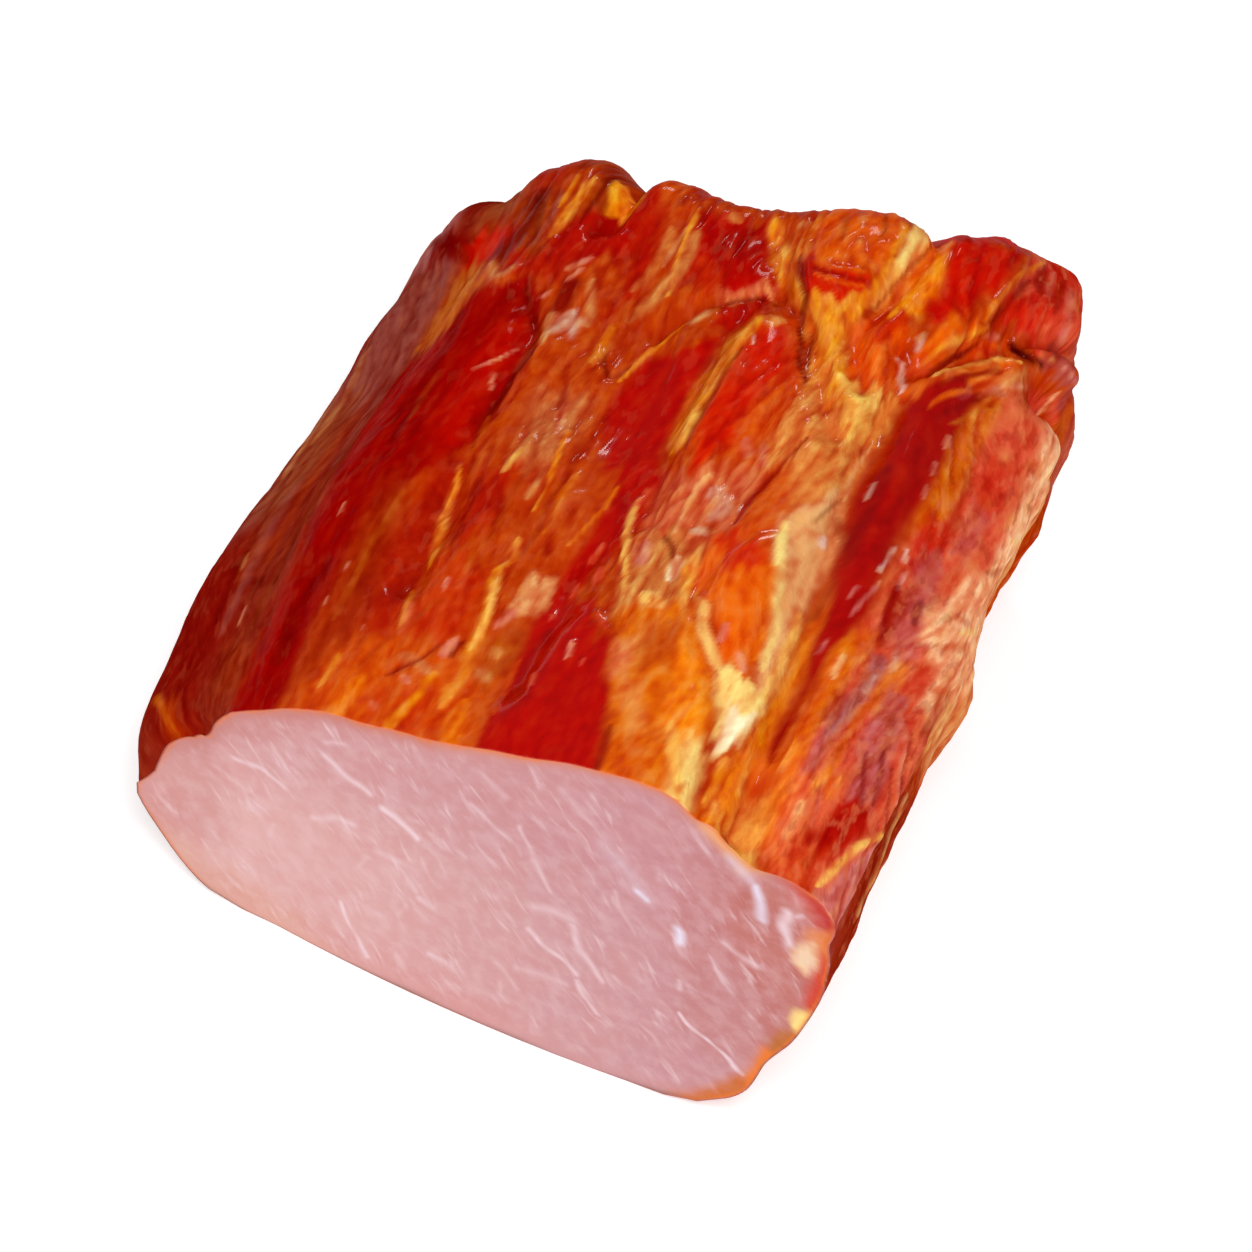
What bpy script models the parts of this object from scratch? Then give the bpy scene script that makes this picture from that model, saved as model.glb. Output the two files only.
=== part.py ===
# Smoked pork loin: a boneless block, cut flat across the grain in front, whole and crusted behind.
#
# The model stands on z = 0 with +Y along the muscle and the cut face at -Y. Its skin is a tube of
# rings. A point on it is named by its girth, the distance in mm round the section from the lower
# left edge over the top, and by its y, the distance in mm along the loin. When it is finished, its
# middle is moved over the origin.

import math

import bmesh
import bpy
from mathutils import Vector, noise

MM = 0.001

# Driving sizes, in mm and degrees: the section, the two ends, and how far the meat swells on each
WIDTH = 124.0
HEIGHT = 71.6
FAR_END = 68.7
END_ROUND = 6.0
END_DOME = 2.0
CUT_MIDDLE = -58.4
CUT_SKEW = 7.6
CUT_BULGE = 1.5
CORNER_ROUND = 8.5

# How the section changes along the loin, in mm
LEFT_SWELL = 4.6
FAR_LEFT_SWELL = 1.9
FAR_RIGHT_DRAW_IN = 6.5
FAR_LEFT_LIFT = 3.4

# The middle that both ends close on, x and z, and the middle of the whole underside, x and y
CORE = (2.0, 34.0)
MIDDLE = (-0.77, 3.09)

# The section across the loin, x and z as shares of the width and height, from the lower left edge:
# thin on the left, thick on the right, tucked under on both sides and flat where it rests.
SECTION = [
    (-0.365, 0.020), (-0.427, 0.140), (-0.465, 0.300), (-0.442, 0.454), (-0.367, 0.587),
    (-0.282, 0.698), (-0.194, 0.782), (-0.092, 0.824), (-0.004, 0.866), (0.089, 0.922),
    (0.190, 0.978), (0.269, 1.000), (0.339, 0.964), (0.419, 0.905), (0.480, 0.859),
    (0.500, 0.782), (0.492, 0.656), (0.474, 0.503), (0.448, 0.377), (0.415, 0.265),
    (0.386, 0.138), (0.322, 0.037), (0.250, 0.0), (-0.040, 0.0), (-0.306, 0.0),
]
STEPS_PER_POINT = 24

# The girths between which the loin rests flat
UNDERSIDE = (232.0, 304.0)

# Points round each ring: from one girth to the next at this spacing, closest on the top
GIRTH_STEPS = [(0, 52, 4.0), (52, 172, 2.1), (172, 224, 4.0), (224, 314, 7.6)]

# Rings along the body, over the far end's rounded edge, over the far end and over the cut
BODY_RINGS = 44
ROUND_RINGS = 5
END_RINGS = 6
CUT_RINGS = 2

# The share of the relief that each ring over the far end keeps of the ring before it
END_FADE = 0.3

# Seams where two muscles meet: a path of (girth, y) points, the groove's half width and its depth
SEAMS = {
    "left_muscle_edge": (
        [(70, 38), (74, 34), (76.5, 28), (75.5, 17), (77, 3), (79, -10), (80, -28)], 2.4, 1.9
    ),
    "far_notch": ([(79, 72), (79, 62), (78.5, 55)], 2.4, 4.2),
    "centre_trough": ([(96, 28), (101.5, 12), (104, -6), (103, -26), (103, -44)], 6.0, 1.7),
    "centre_arc": ([(95.5, 33), (100, 39), (104.5, 42), (111, 43)], 2.0, 1.6),
    "centre_muscle_side": ([(108, 39), (106, 27), (106.5, 8), (111, -10)], 2.2, 1.3),
    "fat_seam": ([(106.5, 57), (109.5, 51), (113.5, 42), (120.5, 35), (126, 25), (132.5, 13)], 2.4, 1.7),
    "lump_side": ([(138.5, 70), (133.5, 54), (130, 43), (128, 35), (133, 25)], 2.8, 3.2),
    "chain_groove": ([(137, 34), (140, 26), (140, 6), (142, -10), (145, -30), (147, -62)], 2.8, 3.4),
    "chain_groove_end": ([(149, -52), (151, -61), (152, -72)], 3.4, 3.0),
    "side_crease": ([(141, 33), (147, 41), (153, 47), (160, 50.5), (168, 54.5), (184, 60)], 2.8, 3.6),
    "under_curl": ([(161, 41.5), (166, 42.5), (174, 43), (186, 43)], 4.0, 4.8),
    "pad_side": ([(124, -20), (130, -33), (138, -46), (141, -64)], 2.4, 1.5),
    "under_chain": ([(173, 40), (173, 10), (174, -20), (172, -64)], 3.2, 2.3),
    "left_side_line": ([(50, 66), (53, 44), (50, 10), (47, -52)], 3.4, 1.0),
}

# Folds that stand up from the skin: a path, its half width and its height
FOLDS = {
    "curled_edge": ([(158, 46), (163, 48), (168, 50)], 2.0, 1.9),
    "chain_ridge": ([(151, 30), (152, 5), (152, -22), (150, -58)], 2.6, 1.0),
    "lump_ridge": ([(142, 41), (148, 49), (151, 57), (155, 66)], 2.0, 1.0),
    "fan_fold": ([(141, 27), (148, 35), (156, 41)], 2.2, 1.3),
    "left_lip": ([(68, 41), (73, 35), (75, 27), (74, 10), (76, -4)], 2.4, 1.0),
}

# Muscle bellies that swell between the seams: middle (girth, y), half sizes, turn in degrees, height
MUSCLES = {
    "left_flank": ((26, -22), (18, 30), 0, 1.6),
    "left_muscle": ((65, 4), (11, 58), 0, 1.6),
    "far_left_corner": ((47, 60), (7, 10), 20, 1.6),
    "gold_band": ((90, -22), (8, 38), 0, 0.8),
    "centre_muscle": ((115, 19), (7, 20), 0, 2.0),
    "far_patch": ((121, 51), (8, 11), 0, 1.2),
    "far_right_lump": ((155, 54), (14, 13), 12, 1.8),
    "chain": ((146, -2), (7, 44), 2, 2.2),
    "fat_pad": ((131, -25), (6, 15), -12, 1.8),
    "front_swell": ((111, -44), (9, 15), 0, 0.9),
    "streaky_bulge": ((191, -5), (11, 9), 0, 1.8),
    "side_waist": ((188, 18), (18, 22), 0, -2.4),
}

# How far each muscle reaches past the plain far end: its girth, half width and reach
FAR_REACH = {
    "left_knob": (65.0, 7.5, 4.2),
    "middle_knob": (85.5, 5.0, 1.6),
    "middle_rise": (101.5, 5.0, 1.6),
    "far_patch": (110.0, 21.0, -3.2),
    "fat_gap": (136.5, 9.5, -4.2),
    "right_lump": (163.0, 12.0, 2.4),
}

# The skin's own unevenness: long grain along the muscle, shorter lumps, and crumple on the far end
GRAIN_SIZE = (7.0, 38.0)
GRAIN_HEIGHT = 1.0
LUMP_SIZE = (15.0, 13.0)
LUMP_HEIGHT = 0.9
CRUMPLE_SIZE = 20.0
CRUMPLE_HEIGHT = 2.4

# The knife left an even edge: the share of the unevenness at the cut, and how deep that reaches
CUT_CALM = 0.3
CALM_DEPTH = 14.0

CRUST_COLOUR = (0.36, 0.05, 0.008, 1.0)
MEAT_COLOUR = (0.62, 0.33, 0.32, 1.0)


def clear_scene():
    for thing in list(bpy.data.objects):
        bpy.data.objects.remove(thing)


def smooth_step(low, high, value):
    """0 below low, 1 above high, and an even S between them."""
    share = min(1.0, max(0.0, (value - low) / (high - low)))
    return share * share * (3 - 2 * share)


def curve_through(corners):
    """A closed smooth curve (a centripetal Catmull-Rom spline) as many short steps."""
    count = len(corners)
    curve = []
    for i in range(count):
        a, b, c, d = (Vector(corners[(i + k) % count]) for k in (-1, 0, 1, 2))
        t1 = math.sqrt((b - a).length)
        t2 = t1 + math.sqrt((c - b).length)
        t3 = t2 + math.sqrt((d - c).length)
        for step in range(STEPS_PER_POINT):
            t = t1 + (t2 - t1) * step / STEPS_PER_POINT
            ab = a.lerp(b, t / t1)
            bc = b.lerp(c, (t - t1) / (t2 - t1))
            cd = c.lerp(d, (t - t2) / (t3 - t2))
            abc = ab.lerp(bc, t / t2)
            bcd = bc.lerp(cd, (t - t1) / (t3 - t1))
            curve.append(abc.lerp(bcd, (t - t1) / (t2 - t1)))
    return curve


class Outline:
    """The section as a curve that can be read at any girth."""

    def __init__(self):
        corners = [(x * WIDTH, z * HEIGHT) for x, z in SECTION]
        self.curve = curve_through(corners)
        self.curve.append(self.curve[0])
        self.girths = [0.0]
        for a, b in zip(self.curve, self.curve[1:]):
            self.girths.append(self.girths[-1] + (b - a).length)
        self.total = self.girths[-1]

    def point(self, girth):
        girth %= self.total
        low, high = 0, len(self.girths) - 1
        while high - low > 1:
            middle = (low + high) // 2
            if self.girths[middle] <= girth:
                low = middle
            else:
                high = middle
        share = (girth - self.girths[low]) / (self.girths[high] - self.girths[low])
        return self.curve[low].lerp(self.curve[high], share)


def cut_plane(x, z=HEIGHT):
    """y of the cut, which the knife left a little skew and which swells a little near the table."""
    skew = math.tan(math.radians(CUT_SKEW)) * x
    swell = CUT_BULGE * max(0.0, 1 - ((x + 3) / 32) ** 2) * max(0.0, 1 - z / 34)
    return CUT_MIDDLE - skew - swell


def far_end(girth):
    """y of the far end where this girth meets it."""
    return FAR_END + sum(
        reach * math.exp(-(((girth - middle) / half) ** 4)) for middle, half, reach in FAR_REACH.values()
    )


def path_distance(girth, y, path):
    """Distance to the nearest point of a path of straight steps."""
    here = Vector((girth, y))
    nearest = math.inf
    for start, end in zip(path, path[1:]):
        a, b = Vector(start), Vector(end)
        share = max(0.0, min(1.0, (here - a).dot(b - a) / (b - a).length_squared))
        nearest = min(nearest, (here - a.lerp(b, share)).length)
    return nearest


def belly(girth, y, middle, half_sizes, turn):
    """1 in the middle of a muscle's oval, 0 outside it."""
    angle = math.radians(turn)
    across, along = girth - middle[0], y - middle[1]
    u = (across * math.cos(angle) + along * math.sin(angle)) / half_sizes[0]
    v = (along * math.cos(angle) - across * math.sin(angle)) / half_sizes[1]
    return max(0.0, 1 - u * u - v * v) ** 0.75


def unevenness(outline, girth, y):
    """The grain and the lumps of the skin in mm, calmer beside the cut."""
    grain = noise.noise(Vector((girth / GRAIN_SIZE[0], y / GRAIN_SIZE[1], 3.1)))
    lumps = noise.noise(Vector((girth / LUMP_SIZE[0], y / LUMP_SIZE[1], 8.7)))
    behind_cut = y - cut_plane(outline.point(girth).x)
    calm = CUT_CALM + (1 - CUT_CALM) * smooth_step(0, CALM_DEPTH, behind_cut)
    return calm * (GRAIN_HEIGHT * grain + LUMP_HEIGHT * lumps)


def relief(outline, girth, y):
    """How far the skin stands out from the plain form, in mm: bellies, seams, folds, uneven grain."""
    height = sum(size * belly(girth, y, *oval) for *oval, size in MUSCLES.values())
    for path, half_width, depth in SEAMS.values():
        height -= depth * math.exp(-((path_distance(girth, y, path) / half_width) ** 2))
    for path, half_width, rise in FOLDS.values():
        height += rise * math.exp(-((path_distance(girth, y, path) / half_width) ** 2))
    return height + unevenness(outline, girth, y)


def plain_point(outline, girth, y):
    """The form before its relief: the section, swollen on the left and drawn in at the far right."""
    x, z = outline.point(girth)
    left = smooth_step(20, -50, x)
    high = smooth_step(20, 55, z)
    right = smooth_step(25, 60, x) * high
    swell = LEFT_SWELL * math.exp(-(((y + 10) / 34) ** 2)) + FAR_LEFT_SWELL * smooth_step(-5, 45, y)
    x -= left * swell + right * FAR_RIGHT_DRAW_IN * smooth_step(30, 66, y)
    z += FAR_LEFT_LIFT * smooth_step(20, 65, y) * smooth_step(10, -40, x) * high
    return Vector((x, y, z))


def front_corner(girth, y):
    """Share of the rounding where crust wraps the upper left end of the cut."""
    round_part = smooth_step(21, 27, girth) * min(1.0, max(0.0, (58 - girth) / 28))
    back = max(0.0, 1 - (y - cut_plane(-50)) / CORNER_ROUND)
    return round_part * (1 - math.sqrt(max(0.0, 1 - back * back)))


def skin_point(outline, girth, row):
    """Where a ring and a girth meet on the plain form. Rows run from the cut to the far end."""
    section = outline.point(girth)
    front = cut_plane(section.x, section.y)
    last = far_end(girth) - END_ROUND
    turned = math.radians(90) * max(0, row - BODY_RINGS) / ROUND_RINGS
    share = min(1.0, row / BODY_RINGS) ** 1.12
    y = front + (last - front) * share + END_ROUND * math.sin(turned)
    point = plain_point(outline, girth, y)
    inward = Vector((CORE[0], y, CORE[1])) - point
    drop = END_ROUND * (1 - math.cos(turned)) + CORNER_ROUND * front_corner(girth, y)
    return point + inward.normalized() * drop


def girth_marks(outline):
    """The girth of each point round a ring."""
    marks = []
    for start, end, spacing in GIRTH_STEPS:
        end = min(end, outline.total)
        count = round((end - start) / spacing)
        marks += [start + (end - start) * i / count for i in range(count)]
    return marks


def ring_edges(bm, ring):
    return [bm.edges.get((a, b)) for a, b in zip(ring, ring[1:] + ring[:1])]


def next_ring(bm, ring):
    """Extrudes the open edge of the tube and gives the new ring in the same order."""
    made = bmesh.ops.extrude_edge_only(bm, edges=ring_edges(bm, ring))
    new = {v for v in made["geom"] if isinstance(v, bmesh.types.BMVert)}
    return [next(e.other_vert(v) for e in v.link_edges if e.other_vert(v) in new) for v in ring]


def place(ring, points):
    for vert, point in zip(ring, points):
        vert.co = point * MM


def lay_skin(bm, outline, girths):
    """The tube of rings from the cut to the far end."""
    made = bmesh.ops.create_circle(bm, segments=len(girths), radius=1.0)
    ring = made["verts"]
    rings = []
    for row in range(BODY_RINGS + ROUND_RINGS + 1):
        if row:
            ring = next_ring(bm, ring)
        place(ring, [skin_point(outline, girth, row) for girth in girths])
        rings.append(ring)
    return rings


def close_end(bm, ring, count, level):
    """Rings towards the middle of an end, each at the y that level gives, and a last face."""
    edge = [v.co / MM for v in ring]
    middle = Vector((CORE[0], sum(v.y for v in edge) / len(edge), CORE[1]))
    rings = []
    for step in range(1, count + 1):
        share = step / (count + 0.6)
        ring = next_ring(bm, ring)
        points = [rim.lerp(middle, share) for rim in edge]
        place(ring, [Vector((p.x, level(share, rim, middle), p.z)) for p, rim in zip(points, edge)])
        rings.append(ring)
    bmesh.ops.edgeloop_fill(bm, edges=ring_edges(bm, ring))
    return rings


def far_dome(share, rim, middle):
    """y on the far end, a low dome that evens out the uneven rim towards its middle."""
    level = middle.y + (rim.y - middle.y) * (1 - share) ** 5
    point = rim.lerp(middle, share)
    crumple = min(1.0, 3 * share) * noise.noise(Vector((point.x, point.z, 0)) / CRUMPLE_SIZE)
    return level + END_DOME * math.sin(share * math.pi / 2) + CRUMPLE_HEIGHT * crumple


def cut_level(share, rim, middle):
    """y on the cut, which stays on the knife's plane."""
    point = rim.lerp(middle, share)
    return cut_plane(point.x, point.z)


def add_relief(bm, outline, rings, girths, end_rings):
    """Moves the skin by its relief, which dies away over the far end, and softens it."""
    bm.normal_update()
    moved = []
    for index, ring in enumerate(rings + end_rings):
        fade = END_FADE ** max(0, index + 1 - len(rings))
        for girth, vert in zip(girths, ring):
            if UNDERSIDE[0] < girth < UNDERSIDE[1]:
                continue
            moved.append((vert, vert.normal * relief(outline, girth, vert.co.y / MM) * fade * MM))
    for vert, step in moved:
        vert.co += step
    inner = [vert for ring in rings[1:] + end_rings[:1] for vert in ring]
    axes = {"use_axis_x": True, "use_axis_y": True, "use_axis_z": True}
    for _ in range(2):
        bmesh.ops.smooth_vert(bm, verts=inner, factor=0.35, **axes)


def close_cut(bm, ring):
    """Brings the first ring back into the knife's plane and closes it."""
    for vert in ring:
        x, _, z = vert.co / MM
        vert.co.y = cut_plane(x, z) * MM
    before = set(bm.faces)
    close_end(bm, ring, CUT_RINGS, cut_level)
    return set(bm.faces) - before


def material(name, colour, roughness):
    made = bpy.data.materials.new(name)
    made.use_nodes = True
    shader = made.node_tree.nodes["Principled BSDF"]
    shader.inputs["Base Color"].default_value = colour
    shader.inputs["Roughness"].default_value = roughness
    shader.inputs["Metallic"].default_value = 0.0
    return made


def build_loin():
    outline = Outline()
    girths = girth_marks(outline)
    bm = bmesh.new()
    rings = lay_skin(bm, outline, girths)
    end_rings = close_end(bm, rings[-1], END_RINGS, far_dome)
    add_relief(bm, outline, rings, girths, end_rings)
    cut = close_cut(bm, rings[0])
    for vert in bm.verts:
        vert.co.z = max(0.0, vert.co.z)
    for face in bm.faces:
        face.smooth = face not in cut
        face.material_index = 1 if face in cut else 0
    bmesh.ops.translate(bm, verts=bm.verts, vec=Vector((-MIDDLE[0], -MIDDLE[1], 0)) * MM)
    bmesh.ops.recalc_face_normals(bm, faces=bm.faces)
    bmesh.ops.triangulate(bm, faces=bm.faces)
    mesh = bpy.data.meshes.new("loin")
    bm.to_mesh(mesh)
    bm.free()
    mesh.materials.append(material("smoked_crust", CRUST_COLOUR, 0.38))
    mesh.materials.append(material("cut_meat", MEAT_COLOUR, 0.42))
    bpy.context.scene.collection.objects.link(bpy.data.objects.new("loin", mesh))


clear_scene()
build_loin()
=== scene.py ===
# %% [markdown]
# # A smoked pork loin
#
# The part is a boneless loin of pork, cured, smoked until its skin is red and golden, and cut across
# at the front. Its solid has the right size and the big forms, with flat colours. This script keeps
# that size and gives the meat its skin: the fibres, the fat between the muscles, the dark seams, the
# wet gloss and the pink cut.
#
# The solid is loaded first. Its box is kept, so that the finished piece can be compared with it.

import math

import bmesh
import bpy
import numpy as np
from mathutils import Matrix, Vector, noise


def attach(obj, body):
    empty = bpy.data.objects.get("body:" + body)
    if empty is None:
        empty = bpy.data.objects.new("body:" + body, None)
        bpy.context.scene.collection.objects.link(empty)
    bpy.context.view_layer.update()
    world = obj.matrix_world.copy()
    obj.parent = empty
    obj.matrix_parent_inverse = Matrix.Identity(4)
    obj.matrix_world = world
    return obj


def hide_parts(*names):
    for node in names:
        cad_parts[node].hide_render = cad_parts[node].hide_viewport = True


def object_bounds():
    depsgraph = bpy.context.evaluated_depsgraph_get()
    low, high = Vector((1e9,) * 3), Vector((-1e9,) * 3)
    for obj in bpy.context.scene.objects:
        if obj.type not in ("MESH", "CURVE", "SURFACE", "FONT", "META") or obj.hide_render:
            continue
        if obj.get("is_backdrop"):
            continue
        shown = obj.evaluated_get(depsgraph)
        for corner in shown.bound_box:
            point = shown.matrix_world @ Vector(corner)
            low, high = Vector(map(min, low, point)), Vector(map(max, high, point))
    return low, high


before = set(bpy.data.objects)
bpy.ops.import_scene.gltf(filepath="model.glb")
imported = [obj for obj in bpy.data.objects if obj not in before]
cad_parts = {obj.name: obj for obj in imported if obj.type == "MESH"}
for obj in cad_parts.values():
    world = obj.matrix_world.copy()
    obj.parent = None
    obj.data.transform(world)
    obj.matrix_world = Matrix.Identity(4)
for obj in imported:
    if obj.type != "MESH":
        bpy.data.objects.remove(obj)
solid_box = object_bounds()
print("solid box", [tuple(round(v * 1000, 1) for v in corner) for corner in solid_box])

# %% [markdown]
# ## The form
#
# A point on the skin has a name of two numbers, as on the solid: its girth, the distance in mm round
# the section from the lower left edge over the top, and its y, the distance in mm along the loin.
# Everything below, seams and colours alike, is placed by girth and y, so it stays on the muscle that
# it belongs to. The sizes are those of the solid. They could be read from its mesh, but a mesh of
# loose triangles has no girth, and the named sizes show what each one does.

# %% Sizes of the loin, in mm and degrees
# Section, far end, cut, and how the sides swell, draw in and lift
MM = 0.001
WIDTH = 124.0
HEIGHT = 71.6
FAR_END = 68.7
END_ROUND = 6.0
END_DOME = 2.0
CUT_MIDDLE = -58.4
CUT_SKEW = 7.6
CUT_BULGE = 1.5
CORNER_ROUND = 8.5
LEFT_SWELL = 4.6
FAR_LEFT_SWELL = 1.9
FAR_RIGHT_DRAW_IN = 6.5
FAR_LEFT_LIFT = 3.4
# x and z of the line that both ends close on, x and y of the middle of the box, and the girths between
# which the loin lies flat on its underside
CORE = (2.0, 34.0)
MIDDLE = (-0.77, 3.09)
UNDERSIDE = (232.0, 304.0)

# Outline of the section in shares of the width and the height
SECTION = [
    (-0.365, 0.020), (-0.427, 0.140), (-0.465, 0.300), (-0.442, 0.454), (-0.367, 0.587),
    (-0.282, 0.698), (-0.194, 0.782), (-0.092, 0.824), (-0.004, 0.866), (0.089, 0.922),
    (0.190, 0.978), (0.269, 1.000), (0.339, 0.964), (0.419, 0.905), (0.480, 0.859),
    (0.500, 0.782), (0.492, 0.656), (0.474, 0.503), (0.448, 0.377), (0.415, 0.265),
    (0.386, 0.138), (0.322, 0.037), (0.250, 0.0), (-0.040, 0.0), (-0.306, 0.0),
]

# %% [markdown]
# A Bezier curve would need handles at each of the section's 25 corners. A Catmull-Rom curve goes
# through every corner without them, and its centripetal form doesn't loop where corners lie close
# together. The same curve bends the strokes.


# %% A smooth curve through a few points
def smooth_curve(corners, closed=False, steps=24):
    """A centripetal Catmull-Rom curve through the corners, as many short steps."""
    points = np.array(corners, float)
    if not closed:
        first = 2 * points[0] - points[1]
        last = 2 * points[-1] - points[-2]
        points = np.vstack([first, points, last])
    count = len(points)
    spans = range(count) if closed else range(1, count - 2)
    share = np.linspace(0, 1, steps, endpoint=False)[:, None]
    pieces = []
    for i in spans:
        a, b, c, d = (points[(i + k) % count] for k in (-1, 0, 1, 2))
        t1 = math.sqrt(np.linalg.norm(b - a))
        t2 = t1 + math.sqrt(np.linalg.norm(c - b))
        t3 = t2 + math.sqrt(np.linalg.norm(d - c))
        t = t1 + (t2 - t1) * share
        ab = a + (b - a) * t / t1
        bc = b + (c - b) * (t - t1) / (t2 - t1)
        cd = c + (d - c) * (t - t2) / (t3 - t2)
        abc = ab + (bc - ab) * t / t2
        bcd = bc + (cd - bc) * (t - t1) / (t3 - t1)
        pieces.append(abc + (bcd - abc) * (t - t1) / (t2 - t1))
    end = points[0] if closed else points[-2]
    return np.vstack(pieces + [end])


OUTLINE = smooth_curve([(x * WIDTH, z * HEIGHT) for x, z in SECTION], closed=True)
GIRTHS = np.concatenate([[0], np.cumsum(np.linalg.norm(np.diff(OUTLINE, axis=0), axis=1))])
TOTAL_GIRTH = GIRTHS[-1]


def section(girth):
    """x and z of the section at a girth, or at an array of girths."""
    turned = np.mod(girth, TOTAL_GIRTH)
    return np.interp(turned, GIRTHS, OUTLINE[:, 0]), np.interp(turned, GIRTHS, OUTLINE[:, 1])


print("girth of the section", round(TOTAL_GIRTH, 1), "mm")

# %% [markdown]
# ## The sheet
#
# The skin is one sheet, rolled round the section like dough round a filling. A flat grid is the
# operator for that: every vertex has a column, which gives its girth, and a row, which gives its
# place along the loin. The first rows close the cut from its middle out to the rim, the next run
# along the body, and the last turn over the far end and close it. The columns are closest on the
# top, where the detail is, and wide under the loin, where nobody looks.


# %% Columns and rows of the sheet
def spaced(stops):
    """Marks from the first stop to the last. Each stop gives where it starts and the spacing from it."""
    marks = []
    for (start, spacing), (end, _) in zip(stops, stops[1:]):
        count = max(1, round((end - start) / spacing))
        marks += [start + (end - start) * i / count for i in range(count)]
    return np.array(marks + [stops[-1][0]])


COLUMNS = spaced([(0, 2.2), (34, 0.46), (168, 1.1), (222, 6.0), (TOTAL_GIRTH, 0)])
CUT_SHARES = spaced([(0, 0.008), (0.024, 0.018), (0.24, 0.05), (0.9, 0.1), (1.0, 0)])[1:]
BODY_SHARES = spaced([(0, 0.0025), (0.015, 0.0049), (1.0, 0)])
ROUND_TURNS = spaced([(0, 10.0), (90.0, 0)])[1:]
END_SHARES = spaced([(0, 0.042), (1.0, 0)])[1:]

CUT_ROWS = len(CUT_SHARES)
SKIN_ROWS = len(BODY_SHARES) + len(ROUND_TURNS)
ROWS = CUT_ROWS + SKIN_ROWS + len(END_SHARES)
print("sheet of", len(COLUMNS), "columns and", ROWS, "rows")

# %% [markdown]
# Under the relief the loin is the section pushed along y, swollen on the left, drawn in at the far
# right and lifted at the far left. The cut is a plane, a few degrees askew, but at the far end each
# muscle stops at its own length. A lattice could bend a block like this, but a few sums say where
# each swelling is and how large.

# %% The plain form under the relief
# Two numbers in a FROM are where a change starts and where it is full
BULGE_MIDDLE = -3
BULGE_HALF_WIDTH = 32
BULGE_TOP = 34
CORNER_FROM = (21, 27)
CORNER_END = 58
CORNER_FADE = 28
CORNER_X = -50
LEFT_FROM_X = (20, -50)
RIGHT_FROM_X = (25, 60)
HIGH_FROM_Z = (20, 55)
SWELL_MIDDLE = -10
SWELL_REACH = 34
FAR_SWELL_FROM_Y = (-5, 45)
DRAW_IN_FROM_Y = (30, 66)
LIFT_FROM_Y = (20, 65)
LIFT_FROM_X = (10, -40)


def smooth_step(low, high, value):
    """0 below low, 1 above high, and an even S between them."""
    share = np.clip((value - low) / (high - low), 0, 1)
    return share * share * (3 - 2 * share)


def cut_plane(x, z=HEIGHT):
    """y of the cut, a little skew, and a little swollen near the table."""
    skew = math.tan(math.radians(CUT_SKEW)) * x
    across = np.maximum(0, 1 - ((x - BULGE_MIDDLE) / BULGE_HALF_WIDTH) ** 2)
    return CUT_MIDDLE - skew - CUT_BULGE * across * np.maximum(0, 1 - z / BULGE_TOP)


# How far each muscle reaches past the plain far end: its girth, half width and reach
FAR_REACH = {
    "left_knob": (65.0, 7.5, 4.2),
    "middle_knob": (85.5, 5.0, 1.6),
    "middle_rise": (101.5, 5.0, 1.6),
    "far_patch": (110.0, 21.0, -3.2),
    "fat_gap": (136.5, 9.5, -4.2),
    "right_lump": (163.0, 12.0, 2.4),
}


def far_end(girth):
    """y of the far end where this girth meets it."""
    reach = [size * np.exp(-(((girth - middle) / half) ** 4)) for middle, half, size in FAR_REACH.values()]
    return FAR_END + sum(reach)


def front_corner(girth, y):
    """Share of the rounding where crust wraps the upper left end of the cut."""
    round_part = smooth_step(*CORNER_FROM, girth) * np.clip((CORNER_END - girth) / CORNER_FADE, 0, 1)
    back = np.maximum(0, 1 - (y - cut_plane(CORNER_X)) / CORNER_ROUND)
    return round_part * (1 - np.sqrt(np.maximum(0, 1 - back * back)))


def plain_form(girth, y):
    """The section, swollen on the left and drawn in at the far right, as points in mm."""
    x, z = section(girth)
    left = smooth_step(*LEFT_FROM_X, x)
    high = smooth_step(*HIGH_FROM_Z, z)
    right = smooth_step(*RIGHT_FROM_X, x) * high
    swell = LEFT_SWELL * np.exp(-(((y - SWELL_MIDDLE) / SWELL_REACH) ** 2))
    swell = swell + FAR_LEFT_SWELL * smooth_step(*FAR_SWELL_FROM_Y, y)
    new_x = x - left * swell - right * FAR_RIGHT_DRAW_IN * smooth_step(*DRAW_IN_FROM_Y, y)
    new_z = z + FAR_LEFT_LIFT * smooth_step(*LIFT_FROM_Y, y) * smooth_step(*LIFT_FROM_X, x) * high
    return np.stack([new_x, y, new_z], axis=-1)


def toward_core(points, distance):
    """Points moved by a distance in mm toward the line that both ends close on."""
    inward = np.stack([CORE[0] - points[..., 0], 0 * points[..., 1], CORE[1] - points[..., 2]], axis=-1)
    return points + inward / np.linalg.norm(inward, axis=-1, keepdims=True) * distance[..., None]


def lay_skin(girth):
    """The rows along the body and over the far end's rounded edge, before their relief."""
    x, z = section(girth)
    front = cut_plane(x, z)
    last = far_end(girth) - END_ROUND
    shares = np.concatenate([BODY_SHARES, np.ones(len(ROUND_TURNS))])[:, None]
    turned = np.radians(np.concatenate([np.zeros(len(BODY_SHARES)), ROUND_TURNS]))[:, None]
    y = front + (last - front) * shares + END_ROUND * np.sin(turned)
    drop = END_ROUND * (1 - np.cos(turned)) + CORNER_ROUND * front_corner(girth, y)
    return toward_core(plain_form(girth + 0 * y, y), drop)


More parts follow.
